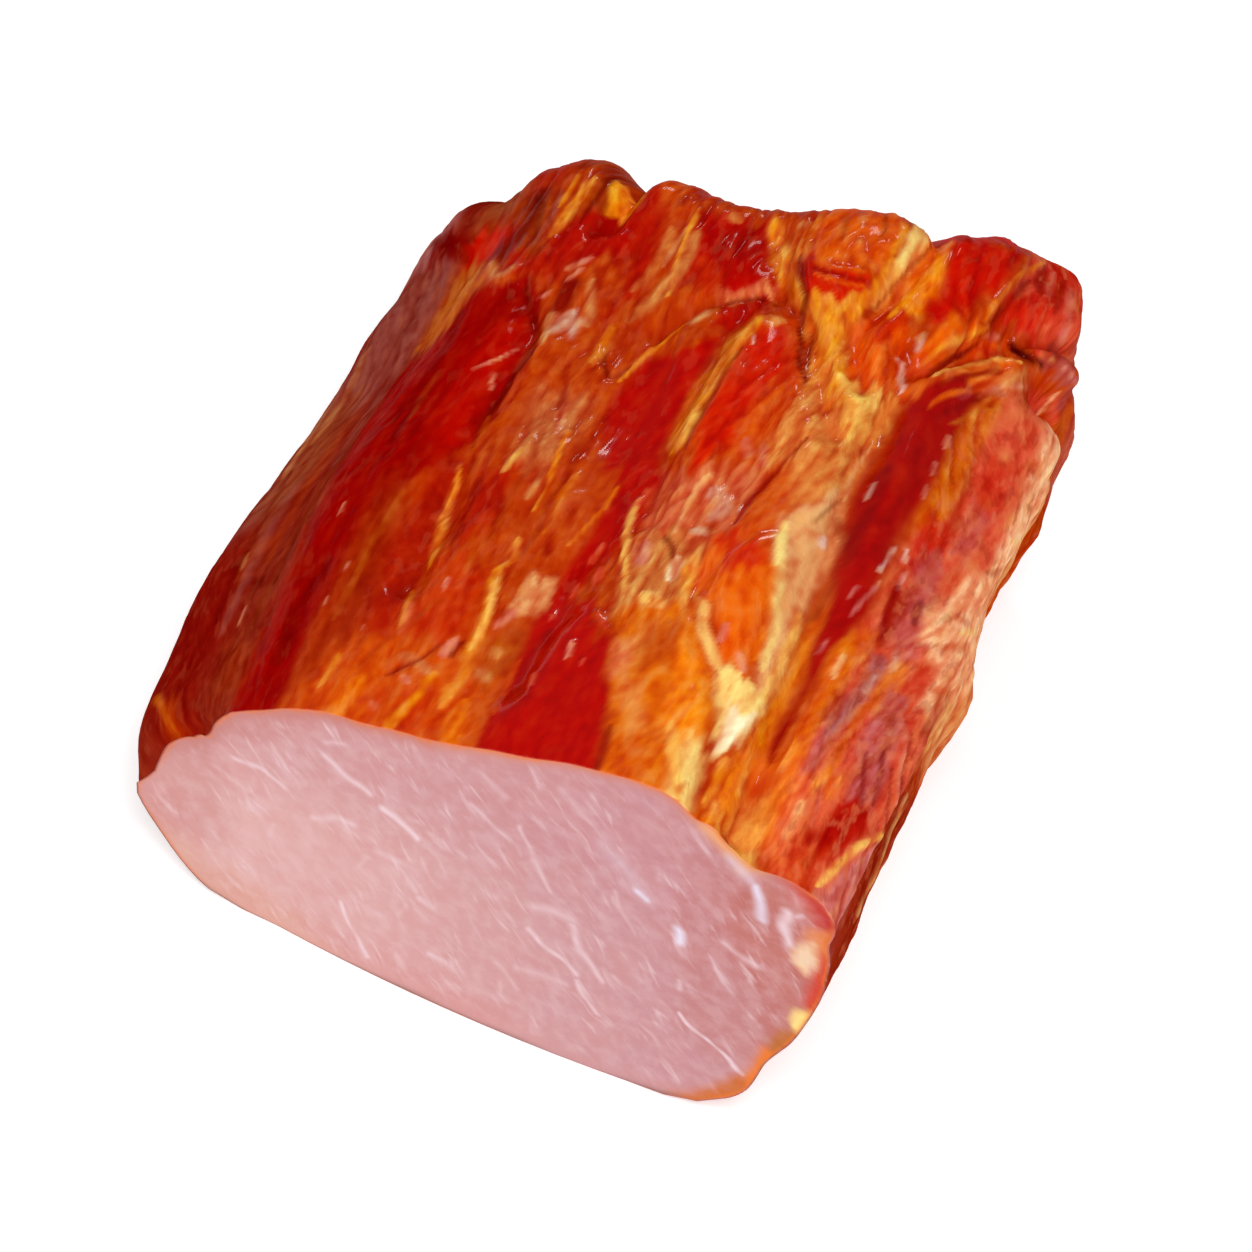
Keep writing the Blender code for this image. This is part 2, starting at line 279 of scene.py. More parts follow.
# %% [markdown]
# ## The muscles and the seams
#
# A loin is a bundle of muscles, and smoking dries it, so each muscle stands up as a belly and the
# seams between them sink. Each one is a short path or an oval in girth and y, with a width and a
# height. They could be sculpted by hand, but then nothing would have a name to change. These are the
# seams of the solid, so both have the same relief; the finer wrinkles come with the paint below.

# %% Seams, folds and bellies
SEAMS = {
    "left_muscle_edge": (
        [(70, 38), (74, 34), (76.5, 28), (75.5, 17), (77, 3), (79, -10), (80, -28)], 2.4, 1.9
    ),
    "far_notch": ([(79, 72), (79, 62), (78.5, 55)], 2.4, 4.2),
    "centre_trough": ([(96, 28), (101.5, 12), (104, -6), (103, -26), (103, -44)], 6.0, 1.7),
    "centre_arc": ([(95.5, 33), (100, 39), (104.5, 42), (111, 43)], 2.0, 1.6),
    "centre_muscle_side": ([(108, 39), (106, 27), (106.5, 8), (111, -10)], 2.2, 1.3),
    "fat_seam": ([(106.5, 57), (109.5, 51), (113.5, 42), (120.5, 35), (126, 25), (132.5, 13)], 2.4, 1.7),
    "lump_side": ([(138.5, 70), (133.5, 54), (130, 43), (128, 35), (133, 25)], 2.8, 3.2),
    "chain_groove": ([(137, 34), (140, 26), (140, 6), (142, -10), (145, -30), (147, -62)], 2.8, 3.4),
    "chain_groove_end": ([(149, -52), (151, -61), (152, -72)], 3.4, 3.0),
    "side_crease": ([(141, 33), (147, 41), (153, 47), (160, 50.5), (168, 54.5), (184, 60)], 2.8, 3.6),
    "under_curl": ([(161, 41.5), (166, 42.5), (174, 43), (186, 43)], 4.0, 4.8),
    "pad_side": ([(124, -20), (130, -33), (138, -46), (141, -64)], 2.4, 1.5),
    "under_chain": ([(173, 40), (173, 10), (174, -20), (172, -64)], 3.2, 2.3),
    "left_side_line": ([(50, 66), (53, 44), (50, 10), (47, -52)], 3.4, 1.0),
}
FOLDS = {
    "curled_edge": ([(158, 46), (163, 48), (168, 50)], 2.0, 1.9),
    "chain_ridge": ([(151, 30), (152, 5), (152, -22), (150, -58)], 2.6, 1.0),
    "lump_ridge": ([(142, 41), (148, 49), (151, 57), (155, 66)], 2.0, 1.0),
    "fan_fold": ([(141, 27), (148, 35), (156, 41)], 2.2, 1.3),
    "left_lip": ([(68, 41), (73, 35), (75, 27), (74, 10), (76, -4)], 2.4, 1.0),
}
MUSCLES = {
    "left_flank": ((26, -22), (18, 30), 0, 1.6),
    "left_muscle": ((65, 4), (11, 58), 0, 1.6),
    "far_left_corner": ((47, 60), (7, 10), 20, 1.6),
    "gold_band": ((90, -22), (8, 38), 0, 0.8),
    "centre_muscle": ((115, 19), (7, 20), 0, 2.0),
    "far_patch": ((121, 51), (8, 11), 0, 1.2),
    "far_right_lump": ((155, 54), (14, 13), 12, 1.8),
    "chain": ((146, -2), (7, 44), 2, 2.2),
    "fat_pad": ((131, -25), (6, 15), -12, 1.8),
    "front_swell": ((111, -44), (9, 15), 0, 0.9),
    "streaky_bulge": ((191, -5), (11, 9), 0, 1.8),
    "side_waist": ((188, 18), (18, 22), 0, -2.4),
}
# Sizes across and along, heights in mm and seeds of the noise that goes over all of them
GRAIN_SIZE = (7.0, 38.0)
GRAIN_HEIGHT = 1.0
GRAIN_SEED = 3.1
LUMP_SIZE = (15.0, 13.0)
LUMP_HEIGHT = 0.9
LUMP_SEED = 8.7
CUT_CALM = 0.3
CALM_DEPTH = 14.0
print(len(SEAMS), "seams,", len(FOLDS), "folds and", len(MUSCLES), "bellies")

# %% [markdown]
# A seam sinks by its distance from a path, and a belly rises by its distance from a middle, so the
# relief is worked out from distances, for the whole sheet at once. The Displace modifier could raise
# noise, but it knows nothing of a path.


# %% Distances and noise over the whole sheet at once
def near_path(girth, y, path):
    """Distance in mm to the nearest point of a path, and that point's share of the path."""
    nearest = np.full(girth.shape, 1e9)
    along = np.zeros(girth.shape)
    for i, (a, b) in enumerate(zip(path, path[1:])):
        run = (b[0] - a[0], b[1] - a[1])
        share = ((girth - a[0]) * run[0] + (y - a[1]) * run[1]) / (run[0] ** 2 + run[1] ** 2)
        share = np.clip(share, 0, 1)
        gap = np.hypot(girth - a[0] - share * run[0], y - a[1] - share * run[1])
        closer = gap < nearest
        nearest = np.where(closer, gap, nearest)
        along = np.where(closer, (i + share) / (len(path) - 1), along)
    return nearest, along


def noise_over(a, b, c):
    """Smooth noise, about -1 to 1, at each point of three arrays of the same shape."""
    a, b, c = np.broadcast_arrays(a, b, c)
    flat = [noise.noise(point) for point in zip(a.ravel(), b.ravel(), c.ravel())]
    return np.array(flat).reshape(a.shape)


def rough_over(points, size, seed):
    """Rougher noise over points in mm, three sizes of grain in one, about -1 to 1."""
    flat = points.reshape(-1, 3) / size + seed
    values = [noise.fractal(point, 0.9, 2.0, 3) for point in flat.tolist()]
    return np.array(values).reshape(points.shape[:-1])


def belly(girth, y, middle, half_sizes, turn):
    """1 in the middle of a muscle's oval, 0 outside it."""
    angle = math.radians(turn)
    across, along = girth - middle[0], y - middle[1]
    u = (across * math.cos(angle) + along * math.sin(angle)) / half_sizes[0]
    v = (along * math.cos(angle) - across * math.sin(angle)) / half_sizes[1]
    return np.maximum(0, 1 - u * u - v * v) ** 0.75


def big_relief(girth, y):
    """How far the skin stands out from the plain form, in mm."""
    height = sum(size * belly(girth, y, *oval) for *oval, size in MUSCLES.values())
    for lines, sign in ((SEAMS, -1), (FOLDS, 1)):
        for path, half_width, size in lines.values():
            gap, _ = near_path(girth, y, path)
            height = height + sign * size * np.exp(-((gap / half_width) ** 2))
    grain = noise_over(girth / GRAIN_SIZE[0], y / GRAIN_SIZE[1], GRAIN_SEED)
    lumps = noise_over(girth / LUMP_SIZE[0], y / LUMP_SIZE[1], LUMP_SEED)
    calm = CUT_CALM + (1 - CUT_CALM) * smooth_step(0, CALM_DEPTH, y - cut_plane(section(girth)[0]))
    return height + calm * (GRAIN_HEIGHT * grain + LUMP_HEIGHT * lumps)


# %% [markdown]
# The far end is whole, rounded where it meets the sides and slightly domed. The last rows shrink to
# its middle. Filling the rim with one face would be simpler, but a flat face has no points that
# crumple. Then every point moves outwards by its relief, and the whole is softened a little, as meat
# has no sharp ridges.

# %% Close the far end and raise the relief
LEVEL_POWER = 5
CRUMPLE_SIZE = 20.0
CRUMPLE_HEIGHT = 2.4
CRUMPLE_RISE = 3
END_FADE = 0.3
END_FADE_STEP = 0.15


def close_far_end(rim):
    """Rows from the far rim to the middle, over a low dome that evens out the rim."""
    middle_y = rim[:, 1].mean()
    middle = np.array([CORE[0], middle_y, CORE[1]])
    shares = END_SHARES[:, None]
    rows = rim[None] + (middle - rim)[None] * shares[..., None]
    crumple = noise_over(rows[..., 0] / CRUMPLE_SIZE, rows[..., 2] / CRUMPLE_SIZE, 0)
    level = middle_y + (rim[:, 1] - middle_y) * (1 - shares) ** LEVEL_POWER
    dome = END_DOME * np.sin(shares * math.pi / 2)
    rows[..., 1] = level + dome + CRUMPLE_HEIGHT * np.minimum(1, CRUMPLE_RISE * shares) * crumple
    return rows


def outward(points):
    """Unit normals of a rolled sheet of points, rows by columns, whose columns close on themselves."""
    round_ring = np.roll(points, -1, axis=1) - np.roll(points, 1, axis=1)
    along = np.gradient(points, axis=0)
    normal = np.cross(round_ring, along)
    length = np.linalg.norm(normal, axis=-1, keepdims=True)
    return normal / np.maximum(length, 1e-9)


def softened(points, passes):
    """Points averaged with their neighbours, as often as passes says. The first and last rows stay."""
    for _ in range(passes):
        ring = (np.roll(points, 1, axis=1) + np.roll(points, -1, axis=1)) / 2
        rows = points.copy()
        rows[1:-1] = (points[:-2] + points[2:]) / 2
        points = np.concatenate([points[:1], (0.5 * points + 0.25 * ring + 0.25 * rows)[1:-1], points[-1:]])
    return points


columns = COLUMNS[:-1]
skin = lay_skin(columns)
skin = np.concatenate([skin, close_far_end(skin[-1])])
skin_girth = np.broadcast_to(columns, skin.shape[:2])
skin_y = skin[..., 1].copy()
print("skin of", skin.shape[0] * skin.shape[1], "points")

end_share = np.concatenate([np.zeros(SKIN_ROWS), END_SHARES])
fade = (END_FADE ** (end_share / END_FADE_STEP))[:, None]
rests = (skin_girth > UNDERSIDE[0]) & (skin_girth < UNDERSIDE[1])
height = np.where(rests, 0, big_relief(skin_girth, skin_y)) * fade
plain_skin = skin
skin = softened(skin + outward(skin) * height[..., None], passes=3)

# %% [markdown]
# ## The fibres
#
# Meat has a grain. On most of the loin it runs along y, but each muscle leans its own way: the left
# flank down to the right, the right side down to the left, the fan beside the far lump nearly across.
# A pattern in plain object coordinates can't lean like that. So every vertex keeps the place that it
# has in the straightened grain, as an attribute, and both the relief and the materials read it.

# %% How the grain leans
# Middle (girth, y), half sizes, and the lean: mm of girth for each mm of y
LEANS = {
    "left_flank_far": ((42, 42), (17, 30), 0.55),
    "left_flank_near": ((38, -30), (18, 34), 0.22),
    "seam": ((116, 42), (12, 22), 0.5),
    "fan": ((148, 37), (9, 11), -0.75),
    "lump": ((150, 56), (15, 12), -0.45),
    "chain_side": ((162, -25), (14, 34), -0.3),
    "pad": ((132, -30), (9, 18), 0.3),
}


def leaned_girth(girth, y):
    """The girth that a fibre through this point has where it leaves its muscle's middle."""
    new = girth.astype(float)
    for (mid_girth, mid_y), (half_girth, half_y), lean in LEANS.values():
        near = np.exp(-(((girth - mid_girth) / half_girth) ** 2) - ((y - mid_y) / half_y) ** 2)
        new = new + near * lean * (y - mid_y)
    return new


grain_x, grain_z = section(leaned_girth(skin_girth, skin_y))
inward_share = end_share[:, None]
grain_x = grain_x + (CORE[0] - grain_x) * inward_share
grain_z = grain_z + (CORE[1] - grain_z) * inward_share


def fibres(across, along, seed):
    """Noise drawn out along the grain, across mm wide and along mm long."""
    return noise_over(grain_x / across + seed, skin_y / along, grain_z / across)


broad_fibre = fibres(2.6, 15.0, 4.0)
fine_fibre = fibres(1.3, 5.0, 9.0)
blotch = fibres(4.5, 6.0, 2.0)
streak = fibres(1.5, 22.0, 6.0)
crumb = rough_over(skin, 3.2, 5.0)
crumb_across = rough_over(skin, 2.6, 31.0)
crumb_along = rough_over(skin, 2.6, 57.0)
print("fibres from", round(float(broad_fibre.min()), 2), "to", round(float(broad_fibre.max()), 2))

# %% [markdown]
# ## The paint
#
# Smoke and fat colour the skin like a glaze that was brushed on: gold where fat is near the surface,
# orange and red over lean meat, dark in the seams, where painted shade is added to the smoke. A ramp
# on noise gives such colours, but not where they are on this loin. So the skin is painted with soft
# areas first and strokes over them, each in a named colour. The fibre noise frays their edges, so
# that none looks drawn. The result is one colour a vertex, which the material then breaks up more
# finely. The colours are in sRGB, as a colour picker shows them.

# %% The palette
PALETTE = {
    # fat, and the pale pink-white of the small painted highlights
    "cream": (255, 248, 202), "butter": (255, 220, 126), "pearl_highlight": (246, 216, 204),
    "stone": (218, 180, 158), "peach": (242, 174, 110), "light_peach": (255, 188, 140),
    "pale_gold": (252, 188, 84), "fat_light": (248, 180, 92), "straw": (212, 128, 62),
    "tan": (215, 146, 88),
    # gold and orange
    "bright_gold": (255, 168, 16), "gold": (240, 142, 20), "sun": (252, 138, 10),
    "amber": (230, 114, 6), "honey": (200, 98, 16), "ochre": (184, 96, 20), "apricot": (230, 132, 58),
    "tangerine": (235, 96, 2), "blaze": (238, 92, 2), "orange": (216, 79, 2),
    # red
    "vermilion": (216, 60, 0), "flame": (204, 46, 0), "burnt": (194, 62, 2), "rust": (166, 52, 2),
    "scarlet": (211, 15, 0), "red": (184, 4, 0), "brick_red": (174, 18, 0), "blood_red": (167, 2, 0),
    "deep_red": (156, 0, 0), "wine": (134, 0, 0), "maroon": (112, 0, 0), "oxblood": (78, 0, 2),
    # brown and mauve
    "ember": (158, 34, 2), "umber": (124, 40, 8), "bark": (156, 78, 45), "smoke_red": (142, 36, 20),
    # the pale mauve is painted sheen, and plum partly is, where it lies on the left flank
    "plum": (149, 72, 64), "mauve": (172, 66, 58), "mauve_sheen": (180, 108, 108),
    "rosy_mauve": (202, 96, 94),
    # pink; as strokes, blush, rose and pink are mostly painted highlights
    "salmon": (227, 114, 72), "tomato": (227, 88, 58), "rose": (226, 76, 52), "blush": (226, 128, 104),
    "pink": (214, 116, 110),
    # the cut
    "cut_beige": (218, 166, 162), "cut_mauve": (194, 136, 140), "cut_tan": (216, 158, 136),
    "cut_rose": (204, 134, 130), "cut_shade": (190, 120, 126), "cut_red": (184, 98, 88),
    # the lower rim's brown crust line, with painted shadow in it
    "under_rim_and_shadow": (128, 88, 76), "fat_cream": (244, 216, 170), "thread": (236, 208, 214),
    # a painted reflection, for the wet spots on the cut
    "reflection_white": (232, 222, 240),
}


def linear(colour):
    """A palette colour as linear light, for a shader."""
    share = np.array(PALETTE[colour]) / 255
    return np.where(share <= 0.04045, share / 12.92, ((share + 0.055) / 1.055) ** 2.4)


print(len(PALETTE), "colours")

# %% [markdown]
# The areas are outlines in girth and y. Each has a colour, the softness of its edge in mm and a
# strength. They are listed muscle by muscle from the left side over the top to the right side, and
# a later one covers an earlier one.

# %% Areas of colour
AREAS = [
    # left flank; its plum areas and the pale mauve at its edge are partly painted sheen, a violet-grey
    # reflection haze over the brown-red
    ("smoke_red", 3.0, 1.0, [(-2, -75), (58, -75), (58, 80), (-2, 80)]),
    ("plum", 4.0, 0.8, [(34, 20), (50, 18), (54, 34), (52, 50), (42, 60), (34, 60)]),
    ("plum", 3.0, 0.6, [(34, 20), (40, 16), (41, -6), (36, -8)]),
    ("mauve_sheen", 3.0, 0.7, [(33, 70), (42, 66), (42, 56), (33, 54)]),
    ("bark", 3.5, 0.6, [(37, 24), (45, 22), (48, 4), (44, -8), (37, -4)]),
    ("wine", 4.0, 0.75, [(30, -8), (44, -14), (48, -34), (46, -56), (34, -56), (28, -30)]),
    ("burnt", 1.5, 0.6, [(36, -44), (41, -46), (42, -53), (37, -52)]),
    ("rust", 2.0, 0.5, [(42, -11), (48, -13), (47, -21), (42, -19)]),
    ("rust", 2.5, 0.4, [(49, -37), (57, -38), (57, -49), (50, -48)]),
    # far left top
    ("rust", 3.0, 1.0, [(50, 64), (60, 72), (82, 72), (82, 44), (60, 44), (52, 46)]),
    ("bark", 2.0, 0.7, [(50, 68), (58, 69), (58, 60), (52, 58)]),
    ("wine", 1.5, 0.9, [(38, 62), (47, 60), (54, 56), (50, 51), (42, 55)]),
    ("scarlet", 1.8, 0.9, [(50, 56), (57, 56), (62, 53), (60, 47), (53, 48)]),
    ("honey", 1.8, 0.9, [(53, 49), (58, 47), (61, 40), (58, 30), (54, 29), (53, 40)]),
    ("maroon", 1.5, 0.8, [(60, 64), (64, 63), (65, 52), (62, 45), (58, 48), (61, 54)]),
    ("red", 2.0, 0.6, [(59, 69), (66, 71), (66, 64), (60, 62)]),
    ("burnt", 1.0, 0.8, [(66, 67), (73, 68), (73, 57), (70, 50), (67, 51), (68, 58)]),
    ("red", 1.5, 0.8, [(62, 50), (70, 47), (76, 46), (76, 40), (69, 42), (64, 44)]),
    ("red", 1.5, 0.95, [(70, 50), (75, 57), (83, 57), (84, 46), (78, 44), (71, 46)]),
    ("bright_gold", 0.8, 1.0, [(75, 65), (79, 67), (81.5, 62), (80.5, 55), (77, 56)]),
    # left muscle
    ("deep_red", 1.5, 1.0, [(57, -56), (67, -56), (67, -36), (68.5, -8), (77.5, 3), (78, 20), (77, 30),
                            (74, 38), (69, 42), (62, 42), (57, 30), (53, 22), (55, 2), (57, -20)]),
    ("scarlet", 3.0, 0.5, [(66, 28), (74, 33), (76.5, 27), (75.5, 12), (77.5, 5), (71, 2), (67, 12)]),
    # band beside the left muscle, and the front left
    ("ember", 3.0, 0.9, [(67, -2), (72, -8), (76, -20), (75, -45), (68, -50), (67, -30)]),
    ("brick_red", 2.5, 0.9, [(73, 2), (79, -2), (81, -25), (81, -40), (75, -38), (74, -15)]),
    ("burnt", 1.2, 1.0, [(77.5, 36), (78, 46), (83, 46), (92, 44), (97, 32), (96, 20), (97, -22),
                         (84, -22), (80, 0), (78.5, 20)]),
    ("tan", 3.0, 0.45, [(83, 18), (91, 15), (91, 0), (85, 2)]),
    ("red", 2.0, 0.8, [(82, -2), (86, 0), (87, -12), (84, -20), (81, -12)]),
    ("flame", 2.0, 0.9, [(82, -20), (91, -22), (90.5, -38), (82, -38)]),
    ("orange", 3.0, 1.0, [(72, -41), (82, -38), (101, -42), (102, -62), (70, -60)]),
    ("rust", 2.0, 0.7, [(97, -33), (103, -34), (103, -46), (97, -45)]),
    ("honey", 1.5, 0.6, [(94.5, -37), (100, -38), (100, -47), (95, -46)]),
    ("flame", 2.0, 0.7, [(86, -48), (91.5, -47), (92, -57), (86, -57)]),
    # far end behind the orange band
    ("orange", 1.5, 0.9, [(82, 70), (92, 68), (92, 56), (83, 56)]),
    ("red", 1.0, 0.9, [(81, 64), (84.5, 63), (86.5, 54), (84, 48), (80.5, 50)]),
    ("deep_red", 1.2, 0.8, [(87, 65), (91, 64), (94.5, 62), (93, 60.5), (88, 62)]),
    ("red", 1.5, 0.7, [(84, 62), (88, 60), (89, 50), (86, 46)]),
    ("wine", 1.0, 0.9, [(76.5, 42), (79.5, 42), (80, 36), (77, 35)]),
    ("red", 1.0, 0.8, [(85.5, 51), (88.5, 50), (89, 40), (86, 40)]),
    ("stone", 1.2, 0.75, [(79, 34.5), (82.5, 34), (82.5, 30), (79, 29.5)]),
    # deep red patch
    ("burnt", 1.5, 1.0, [(91, 70), (112, 70), (112, 40), (96, 36), (91, 46)]),
    ("red", 1.5, 1.0, [(92, 60), (96, 62), (103, 62), (108, 56), (112, 46), (112, 43), (103, 42), (97, 44),
                       (93, 50)]),
    ("deep_red", 2.0, 0.5, [(98, 60), (105, 60), (107, 52), (99, 51)]),
    # patch at the far right of the middle
    ("tangerine", 1.5, 1.0, [(113, 70), (128, 70), (128, 54), (127, 50), (114, 51)]),
    ("scarlet", 1.5, 0.9, [(114, 51), (120, 51), (127, 46), (127, 42), (118, 41), (115, 45)]),
    # middle
    ("burnt", 1.5, 0.9, [(98, 33), (103, 36), (107, 35), (105, 27), (98, 27)]),
    ("salmon", 1.0, 0.7, [(101.5, 43), (112, 44.5), (112, 41), (104, 39.5)]),
    ("red", 0.8, 0.95, [(104, 39.5), (112, 40.5), (112, 36), (108, 33), (104, 34)]),
    ("burnt", 2.0, 1.0, [(91, 6), (97, 6), (104, 0), (103, -20), (100, -34), (93, -30), (91, -10)]),
    ("red", 1.5, 1.0, [(95, 27), (103, 30), (107, 32), (107.5, 5), (112, 0), (110, -12), (105.5, -28),
                       (104, -34), (101, -34), (102, -22), (103.5, -2), (97, 6), (94.5, 14)]),
    ("vermilion", 1.5, 1.0, [(111, 36), (118, 37), (121, 33), (125, 24), (125, 8), (113, 2), (110, 10),
                             (110, 28)]),
    ("scarlet", 1.8, 0.9, [(113, 34), (118, 33), (121, 26), (119, 8), (113, 3), (111, 10), (111, 26)]),
    ("orange", 1.5, 0.8, [(118.5, 22), (126, 22), (126, 2), (117.5, 2)]),
    ("gold", 1.2, 0.95, [(118, 42), (128, 43), (128.5, 36), (130, 28), (134, 20), (131, 18), (126, 22),
                         (123, 31)]),
    ("apricot", 1.5, 0.9, [(125.5, 22), (129, 24), (130, 10), (128, 3), (124, 4)]),
    ("salmon", 2.0, 0.85, [(111, 1), (126, 3), (126, -8), (123, -12), (112, -13), (110, -6)]),
    ("straw", 2.0, 0.9, [(113, -12), (123, -11), (124, -22), (121, -31), (114, -29), (112, -22)]),
    ("red", 1.2, 0.7, [(119.5, -11.5), (124, -11), (124, -16), (120, -15)]),
    ("pale_gold", 1.2, 0.75, [(121.5, -17), (125, -18), (128, -26), (123, -28)]),
    ("peach", 0.9, 0.8, [(97.5, -22.5), (101, -23), (102.3, -26), (101, -30), (98, -32), (96, -31.5),
                       (97, -28)]),
    # front middle
    ("red", 1.3, 1.0, [(101, -29), (109, -27), (113, -33), (116, -35), (118, -44), (121, -50), (124, -64),
                       (103, -64), (102, -45)]),
    ("amber", 1.5, 1.0, [(115, -29), (123, -26), (128, -28), (136, -44), (140, -68), (126, -66), (121, -49),
                         (117, -38)]),
    ("burnt", 1.5, 0.6, [(119, -32), (125, -31), (127, -40), (122, -41)]),
    ("sun", 1.5, 0.9, [(127, -34), (131, -36), (136, -46), (136, -56), (130, -50)]),
    ("butter", 1.2, 0.85, [(134, -50), (138.5, -53), (139.5, -64), (135.5, -64)]),
    ("orange", 1.5, 0.7, [(123.5, -54), (130, -55), (132, -64), (125, -64)]),
    ("salmon", 1.0, 0.75, [(116.5, -36), (119, -36), (121.5, -43), (119, -44.5)]),
    ("apricot", 1.0, 0.8, [(119.5, -42), (123, -42), (128, -53), (126.5, -55), (122, -47)]),
    # red wedge and what is round it
    ("orange", 1.2, 1.0, [(126.5, 5), (132, 4), (133, -8), (131, -12), (126, -11)]),
    ("tangerine", 1.0, 1.0, [(123, -11), (129, -11), (132, -14), (135, -20), (138, -32), (138, -38),
                             (134, -37), (129, -30), (125, -24), (124, -18)]),
    ("scarlet", 1.5, 0.85, [(123, -11), (131, -12), (133, -17), (127, -18)]),
    # cream fat
    ("apricot", 1.5, 0.9, [(129, 20), (134, 14), (140, 22), (140, 2), (132, -4), (128, 4)]),
    ("pale_gold", 1.2, 0.9, [(132, 23), (140, 24), (140, 13), (136, 12), (133, 15)]),
    ("peach", 1.0, 0.95, [(131.5, -6), (139, 2), (142, -5), (141.5, -18), (142.5, -36), (142, -42),
                          (140, -38), (137.5, -26), (134.5, -17)]),
    ("butter", 0.8, 1.0, [(135, -38), (140, -37.5), (143, -42), (141.5, -49), (139.5, -52), (137.5, -49),
                          (134, -40)]),
    ("cream", 0.8, 1.0, [(138, -43), (142, -44), (141, -50), (139, -51.5)]),
    # bright orange between the fat and the chain
    ("blaze", 1.0, 1.0, [(128.7, 35), (131, 38), (136, 36), (138, 30), (140, 25), (136, 23), (131, 27)]),
    ("scarlet", 1.2, 0.7, [(131.5, 40), (136, 40), (136, 34), (132, 34)]),
    ("pale_gold", 1.0, 0.9, [(128.5, 52), (132.5, 52), (132, 42), (129, 41)]),
    ("butter", 1.0, 1.0, [(129.5, 68), (135.5, 64), (134, 50), (130, 50)]),
    # far right lump
    ("sun", 1.2, 0.95, [(135, 66), (138, 60), (139, 48), (137, 39), (132, 40), (132, 50)]),
    ("scarlet", 1.8, 1.0, [(138, 72), (153, 72), (151, 57), (146, 49), (141, 42), (137, 42), (139, 50),
                           (137, 58)]),
    ("rose", 1.8, 1.0, [(152, 50), (156, 75), (172, 75), (168, 56), (162, 49), (157, 49)]),
    ("scarlet", 1.5, 0.8, [(155, 53), (160, 56), (164, 70), (157, 70)]),
    ("scarlet", 1.2, 0.9, [(150.5, 49), (158, 50), (158, 55.5), (152, 56)]),
    ("tangerine", 1.2, 1.0, [(140, 26), (146, 27), (156, 40), (153, 46), (143, 44), (139, 34)]),
    ("tan", 2.0, 0.5, [(150, 33), (157, 35), (157, 41), (152, 39)]),
    # chain muscle
    ("tomato", 1.8, 1.0, [(154, 36), (164, 41), (166, 5), (166, -66), (150, -64), (150, 0), (154, 6)]),
    ("amber", 1.2, 1.0, [(142.5, -14), (145, -22), (152, -20), (150.5, -40), (150, -66), (141, -66),
                          (142.7, -42)]),
    ("smoke_red", 0.8, 0.6, [(142, -6), (144, -8), (144, -24), (142.6, -22)]),
    ("bright_gold", 0.8, 0.8, [(143.4, -28), (145, -28), (145, -46), (143.2, -48)]),
    ("orange", 0.9, 0.7, [(148, -26), (150.4, -26), (150, -48), (148, -48)]),
    ("sun", 1.2, 0.8, [(142.5, -50), (145.5, -50), (146, -61), (142.8, -61)]),
    ("pale_gold", 1.5, 0.8, [(145.5, -56), (150, -54), (152, -68), (146, -68)]),
    ("blood_red", 1.2, 1.0, [(141, 26), (145, 33), (151, 34), (150.5, 15), (149, 0), (150, -14), (148, -24),
                            (147.8, -48), (146.2, -48), (145, -24), (142.5, -10), (140.5, 5)]),
    ("amber", 1.2, 0.7, [(150.5, 34), (154.5, 36), (154.5, 8), (151, 2), (150.5, 14)]),
    ("sun", 2.0, 0.7, [(149, -44), (157, -44), (157, -62), (149, -64)]),
    ("scarlet", 1.5, 0.7, [(156, 26), (160, 26), (161, 12), (157, 12)]),
    ("rosy_mauve", 1.5, 0.7, [(157, 14), (160.5, 13), (160, 3), (156.5, 4)]),
    ("tomato", 1.2, 0.8, [(160.5, 36), (163.5, 37), (165, 8), (162, 8)]),
    ("scarlet", 1.2, 0.8, [(151.5, 8), (155.5, 6), (157, -3), (152, -4)]),
    ("rosy_mauve", 1.0, 0.8, [(153.5, 1), (157.5, 1), (159.5, -22), (155.5, -22)]),
    ("deep_red", 0.8, 0.8, [(151.5, -8), (155, -9), (154.5, -19), (152.5, -19)]),
    ("orange", 1.0, 0.8, [(150, -18), (153.5, -18), (153, -25), (150.5, -25)]),
    ("amber", 0.8, 0.8, [(155.8, -20), (159, -20), (158.5, -34), (156, -33)]),
    # painted sheen: a lilac-grey highlight on the chain muscle
    ("mauve_sheen", 0.8, 0.85, [(153.5, -21), (156, -22), (155, -32), (152.5, -40), (151.3, -38),
                               (153, -30)]),
    ("deep_red", 0.7, 0.9, [(150.3, -32), (152, -32), (151.3, -38.5), (150.2, -38)]),
    ("rosy_mauve", 0.8, 0.85, [(151.3, -39), (153.3, -38), (153.3, -48), (151, -48)]),
    ("rosy_mauve", 1.0, 0.95, [(157.5, -26), (162, -28), (164, -46), (159, -48), (157, -38)]),
    ("tomato", 1.2, 0.9, [(162.5, -26), (169, -28), (171, -47), (165, -47)]),
    ("tomato", 1.5, 0.85, [(151, -48), (158, -48), (157, -62), (152, -62)]),
    ("red", 1.2, 0.95, [(158, -46.5), (165, -47), (163, -54), (159, -60), (156.5, -56)]),
    ("flame", 1.2, 0.7, [(156, -57), (161, -57), (160, -66), (155, -66)]),
    # right side
    ("peach", 5.0, 0.8, [(170, 40), (180, 38), (186, 24), (196, 20), (192, 6), (200, -2), (190, -10),
                         (192, -18), (178, -23), (170, -24)]),
    ("light_peach", 1.2, 1.0, [(162.5, 42), (168, 43), (171, 38), (178, 34), (180, 22), (176, 12), (184, 2),
                               (180, -8), (175, -14), (173, -21), (168, -26), (163, -26), (163, -18),
                               (159, -14), (158, -9), (160.5, -2), (163.8, 4), (164, 14), (163.5, 28)]),
